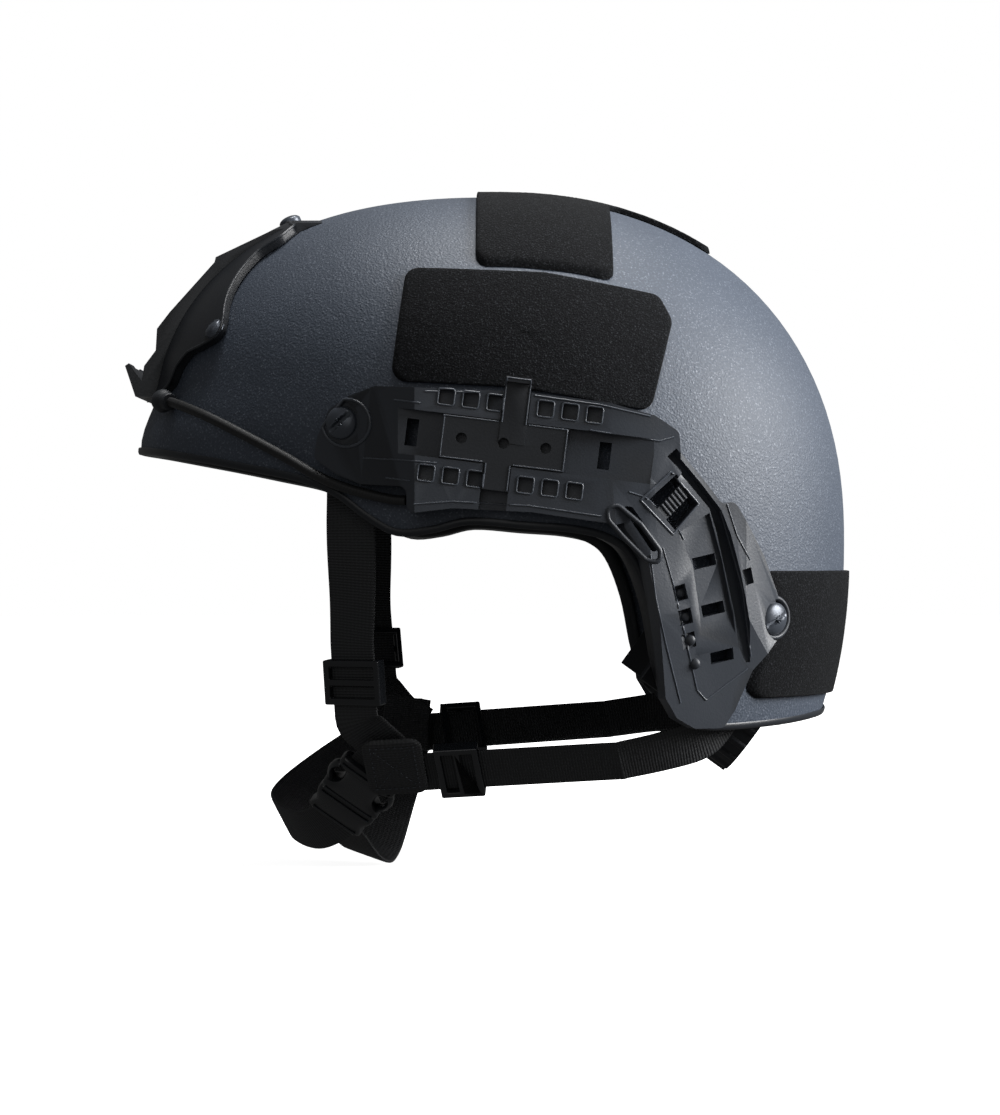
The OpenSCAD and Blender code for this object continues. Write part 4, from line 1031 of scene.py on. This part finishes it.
def rear_route(j, drop):
    wall = [on_wall(104, -34), on_wall(102.3, -46), on_wall(99, -58), on_wall(95, -70),
            on_wall(90, -80, PAST_TRIM + 2.3)]
    free = [[81, -75.5, -90 + drop * 0.4, 0.4, -0.85, -0.35], [67, -79, -95.5 + drop * 0.8, 0.1, -0.8, -0.6]]
    taut = straight(in_join(j, 84.5, -9, 0), in_join(j, 9, -8.5, 0), join_z)
    return wall + free + taut + [join_row(j, -9, -8, 0)]


routes = {
    "front_strap_left": front_route(join_left, (-52.5, -83, -55), (-50.8, -80.2, -85)),
    "front_strap_right": [flip(r) for r in front_route(join_right, (-51.5, -84.5, -47), (-48.8, -80, -76))],
    "rear_strap_left": rear_route(join_left, 0),
    "rear_strap_right": [flip(r) for r in rear_route(join_right, 8.7)],
}
buckle_from = Vector((-46, -55, -105))
buckle_dir = Vector((-0.405, 0.753, -0.516)).normalized()
buckle_face = buckle_dir.cross(Vector((-0.403, -0.654, -0.637))).cross(buckle_dir).normalized()
PLUG_END, POCKET, BAND_OFF = 37.3, 4.5, 0.9


def in_buckle(u, w):
    return [*(buckle_from + buckle_dir * u + buckle_face * w), *buckle_face]


def far_row(u, v, k):
    return flip(join_row(join_right, u, v, k))


routes["chin_tab"] = [join_row(join_left, 5, 4, 2), join_row(join_left, -3, -6, 2), in_buckle(-5, 0),
                      in_buckle(-1, 0), in_buckle(POCKET - SEAT, 0)]


def from_plug(off):
    return [in_buckle(PLUG_END + u, off) for u in (SEAT - POCKET, 1, 4)]


routes["chin_front_band"] = from_plug(BAND_OFF) + [
    [-71.6, -16.3, -130.7, -0.62, -0.5, -0.6], [-79.5, -6, -129.5, -0.8, -0.25, -0.5],
    [-84.5, 5, -126, -0.9, 0.05, -0.42], [-80, 20, -120, -0.75, 0.45, -0.45],
    [-68, 36, -111, -0.6, 0.65, -0.45], [-53.5, 53.5, -101.5, -0.4, 0.7, -0.5],
    far_row(-5, -7, 2.2), far_row(4, 5, 2.2)]
routes["chin_under_band"] = from_plug(-BAND_OFF) + [
    [-57.4, -12.6, -132.8, -0.35, -0.4, -0.85], [-50.5, 1, -141.6, -0.3, 0, -0.95],
    [-46, 18, -138.5, -0.3, 0.5, -0.8], [-41, 37, -122, -0.3, 0.75, -0.6],
    [-36.4, 50, -104.5, -0.2, 0.78, -0.55], far_row(-1, -8, 3.3), far_row(2, 5, 3.3)]
for name, route in routes.items():
    piece = keep(strap(route), "woven_" + name, "helmet", 60, web_finish)
    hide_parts(name)
print("straps", list(routes))

# %% [markdown]
# Where the straps meet, a folded piece of the same webbing is sewn over their ends.
# The thread shows as rows of small stitches: a box and a cross in it, which spreads the pull.
# One stitch is a stretched ball with few faces, set down again and again along the seam.
# The patch itself, like the pads later, is built from rings that shrink towards its middle.

# %% Sewn joins
def from_rings(ring, levels, place, lay=None):
    count, rows = len(ring), len(levels) - 1

    def by_ring(rule):
        return lambda s, t: rule(ring[round(s * count) % count], *levels[round(t * rows)])

    return bent_grid(count, rows, by_ring(place), by_ring(lay) if lay else None)


def sewn_join(j, name, mirrored):
    ring = even(rounded([(-12, -17), (11, -17), (12, 11), (-11, 11)], 4, 4), 72)
    mid = Vector((0, -3))
    levels = [(0, 0), (0.6, 0), (0.9, 0), (0.98, 0.2), (1, 1), (0.98, 1.8), (0.93, 2), (0.6, 2.05), (0, 2.1)]
    top = levels[-1][1]

    def place(p, share, lift):
        q = mid + (p - mid) * share
        return j + join_x * q.x + join_y * q.y + join_z * lift

    def lay(p, share, lift):
        q = p * share
        return q.x * MM, q.y * MM

    threads = bmesh.new()
    box = [(-8.5, -13.5), (8, -13.5), (8.6, 7.6), (-8, 7.6)]
    seam = stepped(box, 2.4, True)
    for a, b in ((box[0], box[2]), (box[1], box[3])):
        seam += stepped([a, b], 2.4)[1:-1]
    ways = [0] * 7 + [90] * 9 + [0] * 7 + [90] * 9 + [51] * 11 + [-51] * 11
    for p, way in zip(seam, ways):
        made = bmesh.ops.create_icosphere(threads, subdivisions=1, radius=MM)["verts"]
        bmesh.ops.scale(threads, vec=(0.95, 0.3, 0.25), verts=made)
        bmesh.ops.rotate(threads, matrix=Matrix.Rotation(math.radians(way), 3, "Z"), verts=made)
        bmesh.ops.translate(threads, vec=Vector((p.x, p.y, top)) * MM, verts=made)
    turn = Matrix((join_x, join_y, join_z)).transposed().to_4x4()
    bmesh.ops.transform(threads, matrix=Matrix.Translation(j * MM) @ turn, verts=threads.verts[:])
    patch = from_rings(ring, levels, place, lay)
    for kind, bm, finish in (("patch", patch, web_finish), ("stitches", threads, thread_finish)):
        if mirrored:
            mirror_across(bm)
        piece = keep(bm, f"{name}_{kind}", "helmet", 60, finish)
        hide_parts(name)


thread_finish = moulded("sewing thread", 0.02, 0.6, 0.3, 0.02)
sewn_join(join_left, "strap_join_left", False)
sewn_join(join_right, "strap_join_right", True)
print("joins sewn")

# %% [markdown]
# The side release buckle is moulded with soft shoulders and a waist, so that fingers find
# its two prongs, and so that the prongs have room when they are squeezed. Socket and plug are
# lofted from full ovals along the buckle, and the prongs are bowed arms that catch the light.

# %% Buckle
buckle_side = buckle_face.cross(buckle_dir)


def lozenge(stations):
    rows = curve(stations, 4)
    count = len(rows) - 1

    def place(s, t):
        u, half, deep = rows[round(t * count)]
        c, q = oval(s * math.tau, 0.35, 0.35)
        return buckle_from + buckle_dir * u + buckle_side * (c * half) + buckle_face * (q * deep)

    return bent_grid(40, count, place)


SOCKET = [[0, 11.2, 2.6], [0.8, 12, 3.4], [3.4, 12.4, 3.9], [6, 8.2, 4.1], [14, 8, 4.1], [19, 12.4, 4],
          [21.4, 12.6, 3.6], [22, 12, 2.8]]
PLUG = [[22.4, 11.6, 2.6], [23.2, 12.4, 3.4], [26, 12.6, 3.9], [31, 11, 4], [35, 11.6, 3.8], [36.6, 12, 3.4],
        [37.3, 11.4, 2.6]]
for node, stations in (("buckle_socket", SOCKET), ("buckle_plug", PLUG)):
    piece = keep(lozenge(stations), node + "_shell", "helmet", 50, buckle_finish)
    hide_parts(node)
ARM = [[20.5, 9.4], [18, 10.6], [14.5, 12.6], [11.5, 13.2], [9, 12.8], [7.4, 11.9], [6.8, 11]]
for which, sign in (("upper", 1), ("lower", -1)):
    path = [buckle_from + buckle_dir * u + buckle_side * (sign * v) for u, v in curve(ARM, 4)]
    bm = bead_line(path, [buckle_face] * len(path), 2.6, 2.3)
    piece = keep(bm, f"bowed_prong_{which}", f"prong_{which}", 60, buckle_finish)
    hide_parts(f"prong_{which}")


def lip(u, half):
    start = buckle_from + buckle_dir * u
    path = [start + buckle_side * v + buckle_face * 3.9 for v in (-half, -half / 2, 0, half / 2, half)]
    return bead_line(path, [buckle_face] * len(path), 1.2, 0.6)


LIPS = ((2.2, 11), (20.6, 11), (24, 11), (35.2, 10))
lip_lines = gathered(lip(u, half) for u, half in LIPS)
keep(lip_lines, "buckle_lips", "helmet", 60, buckle_finish)
print("buckle made")

# %% [markdown]
# The pads are foam in a soft cloth cover. The cover is drawn tight by its seams,
# so each pad is full in the middle and thin at its edge.

# %% Pads
def pad_cloth():
    cloth = Finish("pad cover cloth", Roughness=0.85, Specular_IOR_Level=0.2)
    weave = cloth.cells(0.9)
    fluff = cloth.cloud(2.5, 3)
    slow = cloth.cloud(25, 2)
    colour = cloth.blend(fluff * 0.5 + slow * 0.5, grey(0.012), grey(0.035, 0.15))
    cloth.shader.inputs["Sheen Weight"].default_value = 0.2
    return cloth.wear(Base_Color=colour, Normal=cloth.bump(weave * 0.5 + fluff * 0.5, 0.4))


pad_finish = pad_cloth()
PAD_T, PAD_GAP, NAPE_PAD_T, NAPE_GAP = 17, 0.4, 6, 9.8
PAD_LEVELS = [[0.5, 0.02], [0.88, 0.03], [1, 0.3], [0.99, 0.62], [0.9, 0.86], [0.6, 0.97], [0.3, 1]]
PADS = {
    "crown_pad": ("top", [Vector((4 + 46 * math.cos(math.radians(a)), -40 * math.sin(math.radians(a))))
                          for a in range(0, 360, 9)]),
    "front_pad": ("front", rounded([[-40, 30], [40, 30], [33, 66], [-33, 66]], 12, 5)),
    "rear_pad": ("rear", rounded([[-38, -38], [-46, 6], [46, 6], [38, -38]], 12, 5)),
    "temple_pad_left": ("left", rounded([[-38, 46], [10, 46], [10, 12], [-34, 12]], 10, 5)),
    "back_pad_left": ("left", rounded([[20, 46], [72, 46], [84, 8], [86, -18], [68, -20], [54, 6], [24, 10]],
                                      9, 4)),
}


def cushion(view, outline, count=64):
    ring, lift = even(outline, count), VIEWS[view]
    mid = sum(ring, Vector((0, 0))) / count

    def place(p, share, depth):
        q = mid + (p - mid) * max(share, 0)
        return lift(q.x, q.y, -(SHELL_T + PAD_GAP) - PAD_T * max(depth, 0.0))

    return from_rings(ring, curve([[0, 0.02]] + PAD_LEVELS + [[0, 1.02]], 3), place)


dial_mid = Vector((96.7, 0, -87.7))
dial_axis, dial_up = Vector((0.81, 0, -0.586)).normalized(), Vector((0.586, 0, 0.81)).normalized()


def nape_cushion(count=56):
    ring = even(rounded([(-17, -24), (-17, 24), (17, 24), (17, -24)], 10, 5), count)
    levels = curve([[0, 0], [0.6, 0.02], [0.93, 0.06], [1, 0.35], [0.98, 0.65], [0.86, 0.9], [0.55, 1],
                    [0, 1.04]], 3)

    def place(p, share, depth):
        q = p * max(share, 0)
        inward = NAPE_GAP + NAPE_PAD_T * max(depth, 0)
        return dial_mid + dial_up * q.x + Vector((0, q.y, 0)) - dial_axis * inward

    return from_rings(ring, levels, place)


cushions = {"nape_pad": nape_cushion()}
for name, (view, outline) in PADS.items():
    cushions[name] = cushion(view, outline)
    if name.endswith("left"):
        cushions[name.replace("left", "right")] = mirror_across(cushions[name].copy())
pad_pieces = {node: keep(bm, "cushion_" + node, "helmet", 180, pad_finish) for node, bm in cushions.items()}

# %% [markdown]
# A sewn cover is never as even as a drawn one, so the pads are blown up as cloth.
# Each is first made of small even squares, then its cover is pressed out from inside for a few
# frames. No point may go further than a few millimetres, nor through the wall behind the pad.

# %% Blowing the pads up
VOXEL_MM, PRESSURE, FRAMES, CAP_MM = 4, 4, 20, 3.5


def evened(piece):
    mod = piece.modifiers.new("even squares", "REMESH")
    mod.mode = "VOXEL"
    mod.voxel_size = VOXEL_MM * MM
    mod.use_smooth_shade = True
    fresh = bpy.data.meshes.new_from_object(piece.evaluated_get(bpy.context.evaluated_depsgraph_get()))
    piece.modifiers.clear()
    piece.data = fresh
    if not fresh.materials:
        fresh.materials.append(pad_finish)


def behind_wall(p):
    over = reach(p, -(SHELL_T + 0.35)) - 1
    return p - skin_normal(p, -SHELL_T) * (over * p.length) if over > 0 else p


def blown_up(pieces):
    for piece in pieces:
        evened(piece)
        cloth = piece.modifiers.new("cloth", "CLOTH")
        cloth.settings.use_pressure = True
        cloth.settings.uniform_pressure_force = PRESSURE
        cloth.settings.effector_weights.gravity = 0
        cloth.point_cache.frame_end = FRAMES
    for number in range(1, FRAMES + 1):
        bpy.context.scene.frame_set(number)
    graph = bpy.context.evaluated_depsgraph_get()
    for piece in pieces:
        swollen = [v.co.copy() for v in piece.evaluated_get(graph).data.vertices]
        for vert, co in zip(piece.data.vertices, swollen):
            move = co - vert.co
            if move.length > CAP_MM * MM:
                move = move.normalized() * CAP_MM * MM
            vert.co = behind_wall((vert.co + move) / MM) * MM
        piece.modifiers.clear()
        mod = piece.modifiers.new("smooth", "SUBSURF")
        mod.levels = mod.render_levels = 1
    bpy.context.scene.frame_set(1)


blown_up(pad_pieces.values())
for node, piece in pad_pieces.items():
    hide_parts(node)
print("pads", list(PADS))

# %% [markdown]
# The nape band slides in two slim keepers near the inner wall. Each is a loop of the same
# plastic round the band: the bent grid closed round one way and left narrow the other way.

# %% Keepers of the nape band
BAND_R = 136
band_mid = dial_mid - dial_axis * BAND_R
KEEPER_AT, KEEPER_W, KEEPER_R, KEEPER_HALF_H = 38, 1.8, 130.9, 10.4


def on_band(angle, radius, height):
    a = math.radians(angle)
    out = dial_axis * math.cos(a) + (dial_up.cross(dial_axis)) * math.sin(a)
    return band_mid + out * radius + dial_up * height


for side, sign in (("left", 1), ("right", -1)):
    softened(f"nape_arm_{side}", f"nape_band_arm_{side}", f"arm_{side}", dark_finish, 0.4)

    def place(s, t):
        out, up = oval((s + 0.125) * math.tau, 0.4, 0.3)
        thick = 2.9 if t in (0, 1) else 3.1
        return on_band(sign * KEEPER_AT + (t - 0.5) * KEEPER_W, KEEPER_R + out * thick, up * KEEPER_HALF_H)

    piece = keep(bent_grid(32, 4, place), f"band_keeper_{side}", "helmet", 50, dark_finish)
    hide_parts("arm_guides")
print("keepers placed")

# %% [markdown]
# The stage is a pale floor and soft light: a large lamp from behind and one from above pale
# the back and the crown, and a weak one from the front lets the black rail read.

# %% Floor and light
floor_bm = bmesh.new()
bmesh.ops.create_circle(floor_bm, cap_ends=True, segments=96, radius=6)
bmesh.ops.translate(floor_bm, verts=floor_bm.verts[:], vec=(0, 0, cad_low[2] - 0.0005))
floor_mesh = bpy.data.meshes.new("floor")
floor_bm.to_mesh(floor_mesh)
floor_bm.free()
floor = bpy.data.objects.new("floor", floor_mesh)
bpy.context.scene.collection.objects.link(floor)
pale = Finish("pale floor", Roughness=0.9, Specular_IOR_Level=0.1, Emission_Strength=1.0)
paper = pale.blend(pale.cloud(900) * 0.5, grey(0.9), grey(0.94))
floor_mesh.materials.append(pale.wear(Base_Color=paper, Emission_Color=paper))
floor.visible_diffuse = False
floor.visible_glossy = False


def lamp(name, at_m, size, power):
    data = bpy.data.lights.new(name, "AREA")
    data.shape = "DISK"
    data.size = size
    data.energy = power
    light = bpy.data.objects.new(name, data)
    light.location = at_m
    light.rotation_euler = (-Vector(at_m)).to_track_quat("-Z", "Y").to_euler()
    bpy.context.scene.collection.objects.link(light)


lamp("key from the rear right", (1.7, -0.35, 0.7), 1.3, 80)
lamp("soft light from above", (0.25, 0.1, 2.0), 1.1, 46)
lamp("fill from the front", (-0.5, -1.9, 0.7), 1.4, 3)
world = bpy.data.worlds.new("studio")
bpy.context.scene.world = world
world.use_nodes = True
tree = world.node_tree
back = tree.nodes["Background"]
ray = tree.nodes.new("ShaderNodeLightPath")
level = tree.nodes.new("ShaderNodeMapRange")
level.inputs["To Min"].default_value = 0.1
level.inputs["To Max"].default_value = 1.0
tree.links.new(ray.outputs["Is Camera Ray"], level.inputs["Value"])
tree.links.new(level.outputs["Result"], back.inputs["Strength"])
back.inputs["Color"].default_value = (1, 1, 1, 1)
bpy.context.scene.view_settings.view_transform = "Standard"
print("lamps set")
